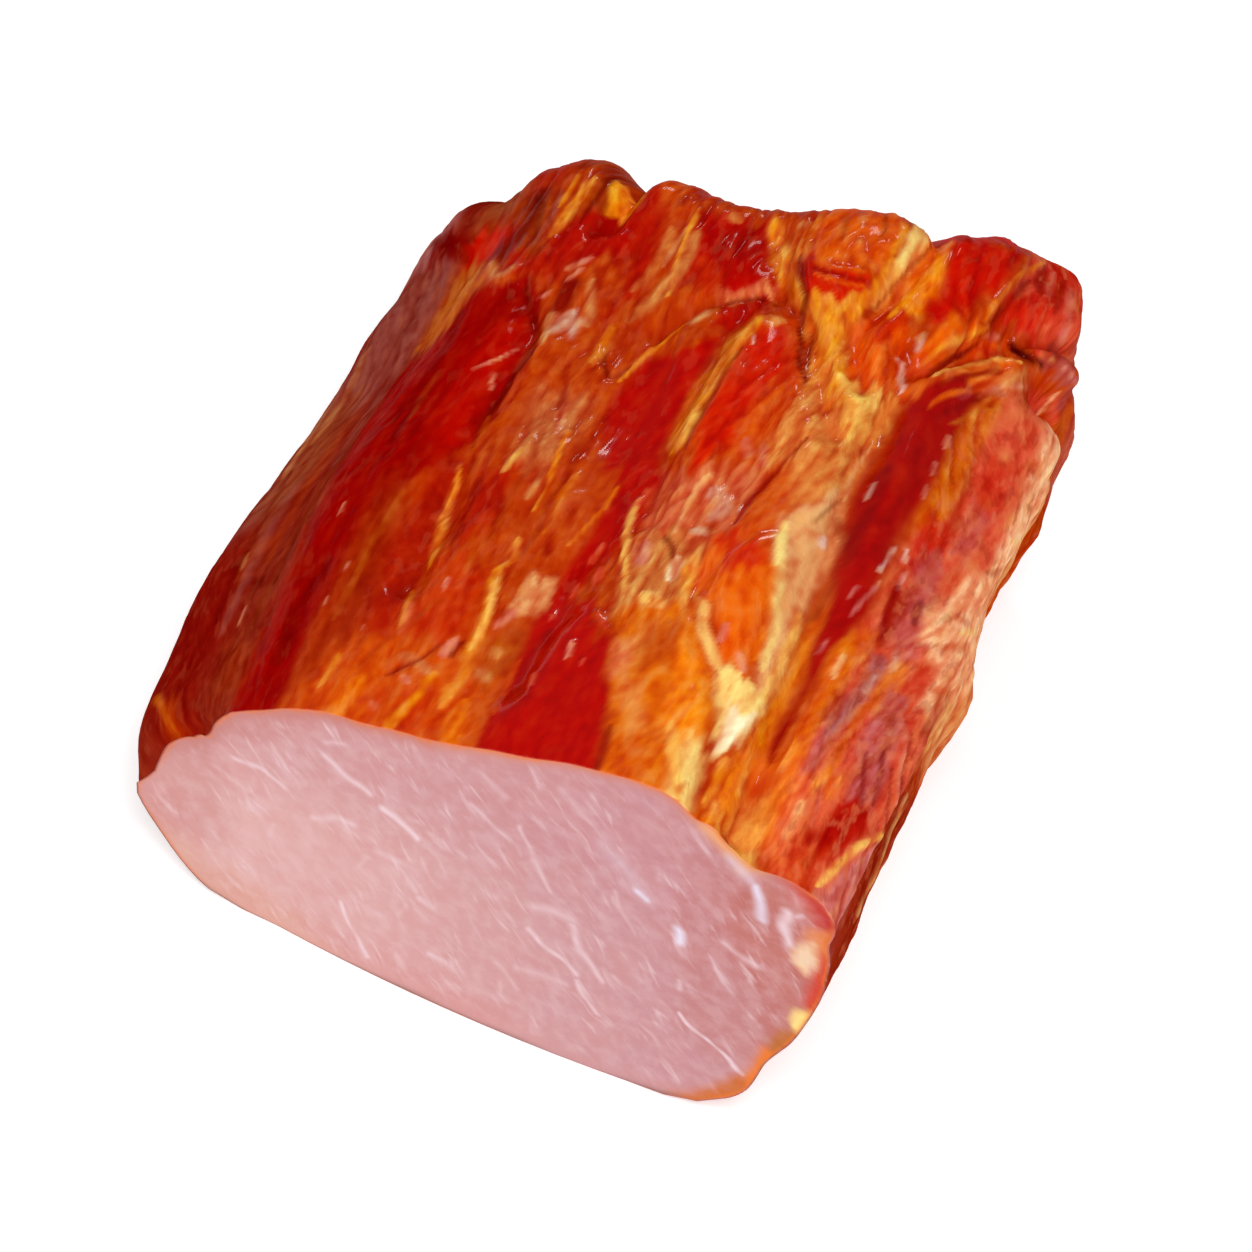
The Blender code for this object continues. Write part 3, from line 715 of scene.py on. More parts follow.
    ("burnt", 1.5, 0.8, [(165, -17), (171, -18), (174, -27), (166, -28)]),
    ("pink", 1.0, 0.95, [(165, -52), (172, -48), (176, -68), (161, -68), (163, -58)]),
    ("smoke_red", 4.0, 0.8, [(168, -26), (176, -29), (184, -24), (193, -33), (200, -26), (208, -36),
                             (216, -28), (216, -74), (173, -72), (172, -50)]),
    ("mauve", 1.2, 0.95, [(158.5, 45), (163, 45.5), (172, 48), (176, 52), (166, 53), (161, 50)]),
]

# %% [markdown]
# The strokes go over the areas. They are paths in girth and y with a colour, a half width in mm, a
# strength and a height in mm: a thread of fat stands up a little, and a crack sinks. The dark strokes
# that sink lie in seams and cracks, and are partly painted shade there. Most of the small blush, rose
# and pink strokes, and all the pale pink-white ones, are painted highlights: the sheen of wet skin on
# a bump, put into the colour.

# %% Strokes
STROKES = [
    # left flank; the plum strokes are partly painted sheen, as on its areas
    ("tan", 1.2, 0.4, 0.0, [(38.5, 36), (40.5, 25), (41, 12)]),
    ("tan", 1.0, 0.4, 0.1, [(36, 28), (38, 14), (39, 4)]),
    ("amber", 1.0, 0.45, 0.1, [(33, -41), (37, -46), (40, -51)]),
    ("maroon", 1.8, 0.8, -0.2, [(37, 63), (43, 59), (48, 54), (53, 50)]),
    ("maroon", 1.5, 0.6, -0.2, [(47, -22), (51, -24), (54, -24)]),
    ("tan", 0.6, 0.6, 0.15, [(43, -15), (44, -19)]),
    ("blush", 0.5, 0.5, 0.1, [(50, -29), (50, -33)]),
    ("maroon", 1.0, 0.5, -0.2, [(44, 46), (48, 30), (50, 16)]),
    ("maroon", 1.2, 0.6, -0.2, [(40, 6), (42, -14), (43, -30)]),
    ("plum", 1.6, 0.5, 0.0, [(45, 2), (46, -18), (46, -34)]),
    ("plum", 1.4, 0.5, 0.0, [(51, 34), (52, 16), (52, 2)]),
    ("umber", 1.2, 0.5, -0.1, [(53, 10), (54, -14), (53, -36)]),
    ("rust", 1.2, 0.5, 0.1, [(48, 12), (49, -6), (50, -20)]),
    # far left top
    ("umber", 0.8, 0.7, -0.2, [(64, 61), (66, 55), (67, 49)]),
    ("plum", 0.8, 0.6, 0.1, [(67, 62), (68, 56), (66.5, 49)]),
    ("gold", 1.2, 0.8, 0.2, [(72, 65), (71, 57), (70, 51)]),
    ("gold", 0.7, 0.7, 0.2, [(68.5, 66), (68.7, 58)]),
    ("maroon", 0.7, 0.8, -0.3, [(74, 69), (74.5, 61), (73.5, 54)]),
    ("tan", 1.0, 0.5, 0.1, [(60, 47), (63, 43), (66, 45)]),
    ("burnt", 1.0, 0.7, 0.1, [(76, 36), (77, 31), (78, 26)]),
    # painted highlights on the wet far left corner
    ("blush", 0.8, 0.7, 0.25, [(76, 43.5), (79, 46.5)]),
    ("blush", 0.7, 0.7, 0.25, [(74, 37), (75.5, 38.5)]),
    ("blush", 0.6, 0.7, 0.25, [(77, 41), (78.5, 44)]),
    # left muscle
    ("maroon", 1.3, 0.5, -0.1, [(60, 36), (61, 22), (60, 10)]),
    ("maroon", 1.0, 0.5, -0.1, [(62, 16), (63, 4)]),
    ("maroon", 2.2, 0.6, -0.1, [(63.5, -22), (62, -34), (63, -44)]),
    ("rust", 0.8, 0.6, 0.1, [(62.5, 22), (63.5, 10)]),
    # painted shade along the seam at the left muscle's edge
    ("maroon", 0.8, 0.8, -0.4, [(70, 40), (74, 34), (77, 28), (77, 12), (78.3, 3)]),
    # painted highlights on the wet left muscle
    ("blush", 0.5, 0.8, 0.3, [(69.3, 21), (72, 22.5), (75.5, 25.5)]),
    ("blush", 0.5, 0.7, 0.3, [(73.6, 20), (75.2, 15)]),
    ("blush", 0.35, 0.6, 0.2, [(61, -9), (61.6, -12)]),
    ("blush", 0.35, 0.6, 0.2, [(67.5, -23.5), (67.8, -25.5)]),
    ("blush", 0.35, 0.5, 0.2, [(67, -30.5), (67.2, -32.5)]),
    ("blush", 0.35, 0.5, 0.2, [(75.6, -36.5), (75.9, -38)]),
    # band beside the left muscle
    ("orange", 0.5, 0.8, 0.25, [(77.3, 10), (78.2, 6), (79.4, 1)]),
    ("gold", 0.6, 0.9, 0.3, [(78, -2), (79.3, -9), (80.5, -16), (81.5, -24)]),
    ("wine", 0.7, 0.6, -0.3, [(81.6, -3), (82.4, -12), (83.2, -20)]),
    ("gold", 0.6, 0.6, 0.2, [(81, -29), (81.2, -37)]),
    ("gold", 0.8, 0.5, 0.1, [(74, -43), (73, -50)]),
    ("honey", 0.8, 0.5, 0.1, [(71, -8), (70.5, -22), (70, -36)]),
    # orange band
    ("deep_red", 0.7, 0.8, -0.35, [(84, 25), (86, 18), (87, 14)]),
    ("maroon", 0.5, 0.7, -0.35, [(88.5, 29), (90, 25), (92, 21.5)]),
    ("maroon", 0.5, 0.6, -0.3, [(92.5, 21.5), (94.5, 25)]),
    ("gold", 0.5, 0.9, 0.3, [(91, 61), (91.6, 54), (92.5, 47), (94, 40)]),
    ("gold", 0.45, 0.9, 0.3, [(90.6, 9), (91, 4), (91.8, -2), (92.4, -9)]),
    ("tan", 0.8, 0.6, 0.15, [(89.6, 1), (90.2, -7)]),
    ("pale_gold", 0.6, 0.6, 0.2, [(84.8, 4), (84.4, -2)]),
    ("blush", 0.8, 0.5, 0.1, [(87.8, 15), (88.4, 9)]),
    ("amber", 0.7, 0.5, 0.15, [(95, 3), (95.5, -14)]),
    ("rust", 0.6, 0.6, -0.2, [(86.5, 8), (87.5, -6), (88, -16)]),
    ("rust", 0.6, 0.6, -0.2, [(93.6, 8), (94, -6), (94, -18)]),
    ("red", 1.4, 0.7, -0.1, [(86, 48), (87, 40), (85.5, 34)]),
    ("stone", 1.0, 0.5, 0.1, [(80, 35), (81, 31)]),
    ("tan", 1.0, 0.6, 0.15, [(81, 42), (83, 36), (84, 32)]),
    ("tan", 0.8, 0.6, 0.15, [(77.5, 34), (78.7, 27)]),
    ("straw", 1.5, 0.7, 0.1, [(93, 56), (93.5, 48), (92, 40), (90, 34)]),
    ("apricot", 1.1, 0.6, 0.1, [(88.5, 56), (89.5, 48), (87.5, 41)]),
    ("red", 1.4, 0.7, 0.0, [(86, 68), (91, 65), (94, 63)]),
    # deep red patch
    ("burnt", 1.2, 0.8, 0.1, [(92, 64), (98, 63), (103, 63)]),
    ("apricot", 1.1, 0.7, 0.15, [(97, 61), (99, 59)]),
    ("amber", 1.0, 0.6, 0.1, [(101, 62), (102.4, 58)]),
    ("flame", 1.2, 0.6, 0.05, [(106, 57), (108.4, 50), (110.6, 45)]),
    ("salmon", 0.4, 0.6, 0.15, [(107.4, 54), (107.8, 52)]),
    ("tan", 0.6, 0.7, 0.15, [(90.6, 56), (90.4, 47)]),
    ("flame", 2.2, 0.5, 0.1, [(96, 50), (100, 44), (98, 40)]),
    ("gold", 1.7, 0.9, 0.3, [(105.5, 60), (107, 57), (109.5, 52), (112, 47), (115, 43), (118.5, 39)]),
    ("pale_gold", 0.6, 0.8, 0.2, [(108.6, 56), (110.6, 51)]),
    ("tan", 1.2, 0.6, 0.1, [(110, 59.5), (113, 58)]),
    ("amber", 1.4, 0.7, 0.1, [(112, 61), (112, 55), (113.5, 51)]),
    # painted shade in the fat seam
    ("maroon", 0.6, 0.85, -0.35, [(113, 52), (115, 46), (118, 40), (120, 33), (124, 24)]),
    ("gold", 0.8, 0.8, 0.2, [(128.5, 62), (128.5, 52), (128, 44), (128.5, 38)]),
    ("tangerine", 0.6, 0.8, 0.2, [(115.5, 50.5), (120, 48.8), (125.5, 48)]),
    ("tangerine", 0.5, 0.7, 0.2, [(117, 47.5), (122, 45.5), (126, 45)]),
    ("wine", 0.5, 0.6, -0.2, [(116, 49), (121, 47.2), (126, 46.4)]),
    ("tan", 0.8, 0.5, 0.1, [(119, 64), (121, 58)]),
    ("rust", 0.7, 0.6, -0.2, [(117, 63), (118.5, 55)]),
    ("rust", 0.7, 0.6, -0.2, [(124, 66), (125, 57)]),
    # middle
    ("peach", 1.0, 0.6, 0.2, [(102.2, 38), (101, 36.4), (99.6, 35)]),
    ("apricot", 1.2, 0.7, 0.15, [(112.5, 36.5), (116, 35.6)]),
    ("tan", 0.5, 0.6, 0.15, [(111.6, 33), (112.6, 30)]),
    ("gold", 1.4, 0.7, 0.1, [(87.6, 33), (88.4, 24)]),
    ("gold", 0.5, 0.9, 0.3, [(99, 34.5), (97, 31), (95.5, 26), (94, 21)]),
    ("oxblood", 0.6, 0.6, -0.3, [(104, 40), (107, 41), (111, 41.6)]),
    ("amber", 0.5, 0.85, 0.25, [(103.2, -2.5), (103.1, -6), (102, -10), (100.6, -16)]),
    ("gold", 1.6, 0.95, 0.2, [(112, 37), (109.8, 31), (108.8, 22), (109.1, 13), (109.3, 5)]),
    ("pale_gold", 0.8, 0.8, 0.2, [(109.3, 16), (109.6, 6)]),
    ("wine", 0.6, 0.7, -0.3, [(110.6, 30), (110.2, 18), (110.6, 6)]),
    ("gold", 1.2, 0.8, 0.2, [(120, 40), (126, 33), (130, 25)]),
    ("pale_gold", 0.9, 0.9, 0.25, [(130, 25), (134, 20), (138, 16), (140, 13)]),
    ("maroon", 0.5, 0.8, -0.35, [(121.5, 34), (123.5, 28), (125.3, 22)]),
    ("deep_red", 0.6, 0.9, -0.35, [(129.5, 11), (127.8, 5), (127, 1), (126, -4), (125.3, -9)]),
    ("blush", 1.0, 0.6, 0.1, [(119.5, 9), (122.5, 5)]),
    ("blush", 0.8, 0.6, 0.1, [(123.5, 8), (125.5, 3)]),
    ("peach", 0.6, 0.9, 0.3, [(117.2, 1), (116.4, -4), (116.2, -8), (117, -12.5)]),
    ("stone", 1.6, 0.5, 0.1, [(119, -2), (122.5, -6), (121, -9)]),
    ("salmon", 1.2, 0.7, 0.1, [(112.6, -2), (113.4, -8)]),
    ("straw", 1.0, 0.8, 0.1, [(118, -11.5), (122.8, -11.5)]),
    # painted shadow in a small hollow
    ("maroon", 0.7, 0.7, -0.3, [(115, -12.5), (117, -14.5), (118.2, -17.5)]),
    ("pink", 1.6, 0.6, 0.1, [(112.4, -14), (113.6, -19.5)]),
    ("cream", 1.1, 0.9, 0.2, [(119.3, -17), (120, -22.5)]),
    ("stone", 1.0, 0.6, 0.1, [(119, -11.5), (122, -12)]),
    ("butter", 1.2, 0.6, 0.1, [(116.5, -25), (119.5, -26.5), (121, -28)]),
    ("flame", 0.8, 0.7, 0.0, [(108.2, -21), (108.4, -24)]),
    ("orange", 0.9, 0.7, 0.0, [(122, -44), (120.6, -46.5)]),
    ("flame", 1.2, 0.6, 0.0, [(88, -50), (89.4, -56)]),
    ("gold", 1.0, 0.7, 0.15, [(93.4, -46), (94, -51)]),
    ("tan", 1.2, 0.6, 0.1, [(96, -43), (99, -45)]),
    ("straw", 1.0, 0.7, 0.1, [(97, -38), (98.6, -40)]),
    ("salmon", 0.7, 0.7, 0.2, [(81.6, -31), (81.4, -38)]),
    ("orange", 0.6, 0.7, 0.1, [(102.2, -40), (102.4, -52)]),
    ("pale_gold", 1.0, 0.7, 0.15, [(116, -25.5), (120.5, -27)]),
    ("gold", 1.2, 0.7, 0.15, [(121.5, -19), (124, -24)]),
    ("pale_gold", 0.6, 0.9, 0.3, [(108, -5), (108.6, -10), (110, -16), (112, -22), (113.2, -24.5)]),
    # painted highlights: pink glints on the wet red
    ("rose", 0.6, 0.8, 0.2, [(106.3, -15), (106, -20)]),
    ("rose", 0.6, 0.8, 0.2, [(108.2, -20), (108, -24)]),
    ("rose", 0.5, 0.7, 0.2, [(105.6, -24), (105.4, -27)]),
    ("rose", 0.7, 0.8, 0.2, [(108.6, -3), (108.4, -7)]),
    ("blush", 1.0, 0.7, 0.1, [(97.5, -30), (95.5, -34)]),
    ("gold", 0.6, 0.7, 0.2, [(92.4, -15), (93, -20), (91.2, -22.5)]),
    ("gold", 1.2, 0.75, 0.3, [(91.8, -22), (92.8, -30), (93.8, -37), (94.6, -49)]),
    ("pale_gold", 0.8, 0.8, 0.2, [(92.4, -25), (93.4, -32), (94, -39)]),
    ("tan", 1.2, 0.5, 0.1, [(83.5, -41.5), (89, -44.5)]),
    # painted highlights on the wet orange band
    ("blush", 0.4, 0.6, 0.25, [(84.7, -25), (84.9, -27.5)]),
    ("blush", 0.9, 0.85, 0.25, [(90.6, -37), (89.7, -41)]),
    ("blush", 0.8, 0.7, 0.2, [(85.2, -45.5), (86.2, -47.5)]),
    ("blush", 0.7, 0.6, 0.2, [(82.4, -51.5), (83.6, -53)]),
    ("maroon", 0.5, 0.7, -0.3, [(91.8, -37), (91.2, -41)]),
    # front left, beside the cut
    ("sun", 1.8, 0.6, 0.1, [(79, -47), (77.5, -57)]),
    ("sun", 1.5, 0.6, 0.1, [(97, -49), (98, -60)]),
    ("bright_gold", 1.0, 0.5, 0.1, [(90, -44), (88, -52), (87, -58)]),
    ("flame", 1.2, 0.7, -0.15, [(83.5, -48), (83, -58)]),
    ("flame", 1.0, 0.6, -0.1, [(93.5, -53), (94.5, -61)]),
    ("burnt", 0.7, 0.8, -0.3, [(84.6, -29), (82, -35), (79, -41), (77.5, -45)]),
    ("wine", 0.5, 0.7, -0.3, [(88.6, -38), (86, -42), (82.5, -46)]),
    # front middle
    ("deep_red", 2.2, 0.6, 0.0, [(104.5, -34), (105, -50)]),
    ("wine", 0.8, 0.8, -0.2, [(122.6, -52), (123.8, -62)]),
    # painted highlights: pink sheen on the wet front
    ("blush", 0.6, 0.85, 0.3, [(108.9, -36), (109.4, -40)]),
    ("rose", 0.5, 0.8, 0.2, [(105.9, -42.5), (106.2, -45.5)]),
    ("rose", 0.6, 0.6, 0.2, [(112.2, -39.5), (112.4, -41)]),
    ("rose", 0.5, 0.7, 0.2, [(103.5, -30.5), (104, -32)]),
    ("rose", 0.5, 0.7, 0.2, [(111, -29.5), (113.8, -33.5)]),
    ("pale_gold", 1.2, 0.85, 0.1, [(131.3, -50), (134, -56), (137, -63)]),
    ("butter", 1.1, 0.85, 0.3, [(126.2, -25.5), (128.6, -30.5), (131.6, -35), (134.6, -38.8)]),
    ("rust", 0.5, 0.6, -0.3, [(127.4, -25.5), (129.8, -30), (132.6, -34)]),
    ("blush", 0.8, 0.75, 0.2, [(131.8, -29.5), (132.2, -33.5)]),
    ("blush", 0.8, 0.75, 0.2, [(135.8, -33.8), (137.5, -37)]),
    # cream fat
    ("butter", 1.2, 0.85, 0.25, [(132.8, -7.5), (133.8, -13), (135.8, -18), (138.2, -26), (140, -35)]),
    ("sun", 0.7, 0.8, -0.1, [(134, -16), (136.4, -24), (138.6, -34)]),
    ("pale_gold", 0.9, 0.8, 0.1, [(141.2, -22), (142, -32), (142.3, -40)]),
    # painted highlight on the cream fat
    ("pearl_highlight", 0.7, 0.9, 0.3, [(139, -7), (139.6, -9.4)]),
    ("umber", 0.4, 0.5, -0.2, [(138.8, 1), (137.8, -2.5), (137, -5.5)]),
    ("rust", 1.0, 0.7, -0.1, [(139.6, -2.5), (141.8, -6)]),
    # painted highlight beside the bright orange
    ("pearl_highlight", 0.5, 1.0, 0.3, [(136.6, 31.5), (138, 30.6), (138.8, 28), (139.8, 25)]),
    ("stone", 0.7, 0.7, 0.2, [(138.6, 38), (138.8, 34)]),
    ("tan", 0.6, 0.8, 0.2, [(138, 36), (139, 38.5)]),
    ("gold", 0.8, 0.9, 0.15, [(129.2, 52), (129, 46), (128.8, 40)]),
    ("rust", 0.5, 0.8, -0.25, [(134.8, 58), (132.4, 50), (131.2, 44), (130, 38)]),
    ("tan", 0.6, 0.6, 0.15, [(139.2, 14), (139, 6), (139.6, 0)]),
    ("honey", 0.5, 0.6, -0.15, [(134.6, 12), (134.4, 3)]),
    # far right lump and the fan
    ("maroon", 1.6, 0.6, 0.0, [(138.5, 61), (142, 62.5)]),
    ("red", 1.6, 0.5, 0.0, [(140, 50), (144, 46)]),
    ("burnt", 1.4, 0.8, 0.1, [(145, 64), (150, 65)]),
    ("amber", 0.6, 0.9, 0.35, [(148, 47), (151, 55), (154, 62), (157, 68)]),
    ("wine", 0.6, 0.8, -0.3, [(149.6, 47.5), (152.6, 55), (155.6, 62)]),
    ("maroon", 1.2, 0.6, -0.1, [(156.5, 66), (157.5, 60)]),
    ("maroon", 1.0, 0.6, -0.1, [(161, 66), (160.5, 58)]),
    ("pink", 1.0, 0.6, 0.1, [(162.6, 65), (163.6, 58), (163, 53)]),
    ("pink", 0.7, 0.6, 0.1, [(158.6, 66), (159, 60)]),
    ("gold", 0.6, 0.95, 0.35, [(140, 32), (142, 38), (146, 43.5), (149, 47)]),
    ("pale_gold", 0.6, 0.9, 0.35, [(143, 31), (147, 37), (152, 42), (156, 44)]),
    ("tangerine", 0.5, 0.85, 0.3, [(144.6, 25), (147, 30), (151.5, 35.5)]),
    ("honey", 0.5, 0.6, 0.2, [(149, 25), (151, 29), (154, 33)]),
    ("stone", 1.0, 0.5, 0.1, [(152.4, 35.5), (155, 37)]),
    ("wine", 0.6, 0.9, -0.4, [(141.3, 31), (144, 37.5), (148, 43)]),
    ("deep_red", 0.7, 0.9, -0.35, [(144.6, 30), (148.6, 36), (153.5, 41)]),
    ("deep_red", 0.6, 0.8, -0.3, [(146.8, 25), (150, 31.5), (154, 37)]),
    ("scarlet", 1.0, 0.8, 0.0, [(148, 42), (154, 44)]),
    # painted shade in the crease under the curled edge
    ("oxblood", 1.4, 1.0, -0.5, [(153.5, 46.5), (156.5, 46), (160.5, 46)]),
    ("blush", 0.7, 0.8, 0.2, [(149.2, 45.2), (151.6, 46.8)]),
    ("tan", 0.6, 0.8, 0.2, [(160.5, 48.5), (162.5, 47)]),
    ("rose", 1.0, 0.8, 0.1, [(163, 42), (168, 45), (175, 48)]),
    ("pink", 0.7, 0.7, 0.1, [(164, 49.5), (168, 51), (174, 53)]),
    ("blush", 0.6, 0.6, 0.2, [(151, 34), (155, 38.5), (159, 40.5)]),
    # chain muscle
    ("maroon", 1.5, 0.5, -0.1, [(143.5, 12), (143.5, -10)]),
    ("peach", 0.5, 0.8, 0.2, [(139.3, 13), (139, 6), (139.4, 1)]),
    # painted highlights: pale glints on the wet chain muscle
    ("blush", 0.45, 0.5, 0.2, [(149.6, 23), (149.9, 20)]),
    ("blush", 0.45, 0.5, 0.2, [(149.4, 17), (149.7, 14)]),
    ("blush", 0.45, 0.5, 0.2, [(149.6, 11.5), (149.9, 9)]),
    ("pink", 0.4, 0.7, 0.2, [(149.6, -9), (148.8, -13), (147.8, -18)]),
    ("pink", 0.3, 0.6, 0.2, [(147.2, -12), (146.6, -15)]),
    ("pink", 0.3, 0.6, 0.2, [(146.2, -24), (146, -28)]),
    # painted highlight: a short glint along the grain
    ("stone", 0.5, 0.5, 0.2, [(142.4, 7), (142, 3)]),
    ("wine", 0.8, 0.7, -0.2, [(160, -29), (161, -37), (163.2, -46)]),
    ("wine", 0.6, 0.7, -0.2, [(158.4, -38), (160, -44), (162, -48)]),
    ("wine", 0.6, 0.6, -0.2, [(163.6, -30), (166, -36), (169, -40)]),
    ("wine", 0.5, 0.6, -0.2, [(163.4, -38), (166, -43), (168.6, -46)]),
    ("blush", 0.6, 0.7, 0.2, [(162, -30), (164.6, -36), (167.6, -41)]),
    ("blush", 0.5, 0.7, 0.2, [(155.4, -49), (156, -56)]),
    ("peach", 0.7, 0.7, 0.2, [(153.4, -52), (153.6, -60)]),
    ("peach", 0.6, 0.8, 0.2, [(149.4, -25), (149.6, -30)]),
    ("maroon", 0.8, 0.6, -0.2, [(156.4, -8), (157, -13)]),
    # painted highlights: pale pink-white glints on the chain muscle
    ("pearl_highlight", 0.35, 0.6, 0.2, [(150.8, -1), (151.4, -4)]),
    ("pearl_highlight", 0.3, 0.55, 0.2, [(149.4, -2), (149, -8)]),
    ("pearl_highlight", 0.4, 0.5, 0.2, [(152.2, -5), (152.6, -9)]),
    ("pearl_highlight", 0.7, 0.5, 0.2, [(155, -25), (154.6, -29)]),
    ("stone", 0.7, 0.6, 0.15, [(156.6, -19), (156.8, -23)]),
    ("deep_red", 0.9, 0.8, -0.2, [(152.4, -8), (152.8, -16)]),
    ("amber", 0.8, 0.7, 0.15, [(156, -30), (155, -38), (154.6, -46)]),
    ("blush", 0.9, 0.6, 0.15, [(159, -27), (160.4, -34)]),
    ("pale_gold", 0.8, 0.7, 0.2, [(144.2, -53), (145, -57)]),
    ("gold", 0.8, 0.7, 0.1, [(141.2, -52), (141.4, -62)]),
    ("pale_gold", 0.7, 0.9, 0.35, [(170, -45), (166, -50), (163, -56), (161, -64)]),
    # right side, where the fat lies in streaks
    ("orange", 0.9, 0.7, -0.2, [(162, -14), (168, -8), (176, -2)]),
    ("orange", 0.8, 0.7, -0.2, [(163, -22), (169, -17), (177, -12)]),
    ("rust", 0.8, 0.6, -0.2, [(164, 4), (170, 10), (178, 14)]),
    ("rust", 0.7, 0.6, -0.2, [(165, 20), (171, 24), (180, 27)]),
    ("butter", 0.7, 0.6, 0.2, [(163, -10), (169, -4), (175, 2)]),
    ("butter", 0.7, 0.6, 0.2, [(165, 12), (171, 17), (179, 21)]),
    ("tomato", 1.8, 0.6, -0.2, [(183, 44), (186, 26), (183, 8), (187, -8), (184, -24)]),
    ("rust", 1.4, 0.6, -0.2, [(190, 40), (193, 24), (190, 12), (194, -4)]),
    ("orange", 2.4, 0.7, -0.1, [(199, 48), (201, 30), (198, 14), (203, -2), (200, -18)]),
    ("ember", 2.6, 0.7, -0.1, [(208, 52), (206, 32), (209, 12), (206, -8), (209, -30)]),
    ("peach", 1.2, 0.7, 0.2, [(178, -30), (181, -42), (179, -54)]),
    ("salmon", 1.5, 0.6, 0.2, [(190, -34), (193, -46), (190, -60)]),
]

# %% [markdown]
# ## Where a colour belongs
#
# A muscle that stands up hides what lies behind it, so the girth and y at which a colour is seen
# aren't quite those where it lies. The colours above were placed as they are seen from high on the
# right of the cut, where the camera will stand. Each vertex is therefore followed along that line of
# sight to the plain form, and it takes the colour that belongs there. This is worked out once, on the
# mesh, so the paint stays put in every other view. A last small shift, in girth on the left half and
# in y everywhere, takes up what is still out of place.

# %% Follow the line of sight to the plain form
VIEW_AZIMUTH = 21.5
VIEW_ELEVATION = 48.0
STEEPEST = 0.35
LAST_SHIFT = (0.7, -0.3)
SHIFT_FROM = (125, 95)


def line_of_sight(azimuth, elevation):
    """The direction towards an onlooker, from the angle to the right of the cut and the one above it."""
    turn, rise = math.radians(azimuth), math.radians(elevation)
    return np.array([math.cos(rise) * math.sin(turn), -math.cos(rise) * math.cos(turn), math.sin(rise)])


sight = line_of_sight(VIEW_AZIMUTH, VIEW_ELEVATION)
normals = outward(plain_skin)
facing = normals @ sight
step = normals - sight / np.maximum(facing, STEEPEST)[..., None]
step = step * (height * smooth_step(0, STEEPEST, facing))[..., None]
ring = np.roll(plain_skin, -1, axis=1) - np.roll(plain_skin, 1, axis=1)
ring = ring / np.linalg.norm(ring, axis=-1, keepdims=True).clip(1e-9)
seen_girth = skin_girth + (step * ring).sum(axis=-1)
seen_girth = seen_girth - LAST_SHIFT[0] * smooth_step(*SHIFT_FROM, seen_girth)
seen_y = skin_y + step[..., 1] - LAST_SHIFT[1]
print("colours moved by up to", round(float(np.abs(seen_y - skin_y).max()), 1), "mm")

# %% [markdown]
# Each area and stroke is laid on in turn. How much of its colour a vertex takes follows from its
# distance to the outline or path, and noise along the grain moves that distance about, so an edge
# runs out in fibres. Texture painting could do this too, but these marks can be moved one by one.


# %% Put the paint on
def from_outline(girth, y, corners):
    """Distance in mm from an outline, more than 0 inside it."""
    gap, _ = near_path(girth, y, corners + corners[:1])
    inside = np.zeros(girth.shape, bool)
    for (g0, y0), (g1, y1) in zip(corners, corners[1:] + corners[:1]):
        if y0 == y1:
            continue
        crosses = (y0 > y) != (y1 > y)
        inside ^= crosses & (girth < g0 + (y - y0) * (g1 - g0) / (y1 - y0))
    return np.where(inside, gap, -gap)


def near_mask(girth, y, corners, reach):
    """The part of the sheet within reach of some corners, so that each stroke costs little."""
    g, h = np.array(corners).T
    wide = (girth > g.min() - reach) & (girth < g.max() + reach)
    return wide & (y > h.min() - reach) & (y < h.max() + reach)


def lay_on(paint, near, weight, colour):
    """Mixes a colour into a part of the paint, by a weight for each point of that part."""
    paint[near] += (linear(colour) - paint[near]) * weight[..., None]


def lay_all_over(paint, weight, colour):
    """Mixes a colour into the whole paint, by a weight for each point."""
    paint += (linear(colour) - paint) * weight[..., None]


# How far the edges wander in girth and y, how much crumb is in that, and how much the fibres fray them
AREA_WOBBLE = (0.7, 3.6)
AREA_CRUMB = (0.4, 0.2)
AREA_FRAY = 0.3
STROKE_WOBBLE = 0.5
STROKE_CRUMB = 0.3
STROKE_FRAY = 0.3
STROKE_EDGE = 1.3

paint = np.broadcast_to(linear("burnt"), skin.shape).copy()
detail = np.zeros(skin.shape[:2])
area_girth = seen_girth + AREA_WOBBLE[0] * (broad_fibre + AREA_CRUMB[0] * crumb_across)
area_y = seen_y + AREA_WOBBLE[1] * (streak + AREA_CRUMB[1] * crumb_along)
stroke_girth = seen_girth + STROKE_WOBBLE * (blotch + STROKE_CRUMB * crumb_across)
stroke_y = seen_y + STROKE_WOBBLE * (blotch + STROKE_CRUMB * crumb_along)

for colour, soft, strength, corners in AREAS:
    near = near_mask(seen_girth, seen_y, corners, 3 * soft)
    gap = from_outline(area_girth[near], area_y[near], corners)
    frayed = gap + AREA_FRAY * soft * (broad_fibre + fine_fibre)[near]
    lay_on(paint, near, strength * smooth_step(-soft, soft, frayed), colour)

for colour, half_width, strength, rise, corners in STROKES:
    near = near_mask(seen_girth, seen_y, corners, 4 * half_width)
    path = smooth_curve(corners, steps=5) if len(corners) > 2 else corners
    gap, along = near_path(stroke_girth[near], stroke_y[near], path)
    taper = np.sqrt(np.clip(1.1 - (2 * along - 1) ** 4, 0, 1))
    width = half_width * taper * (1 + STROKE_FRAY * blotch[near])
    uneven = np.clip(0.9 + 0.5 * broad_fibre[near], 0.4, 1)
    lay_on(paint, near, strength * uneven * smooth_step(0, 1.0, STROKE_EDGE - gap / width), colour)
    detail[near] += rise * np.exp(-((gap / half_width) ** 2))

print(len(AREAS), "areas and", len(STROKES), "strokes painted")

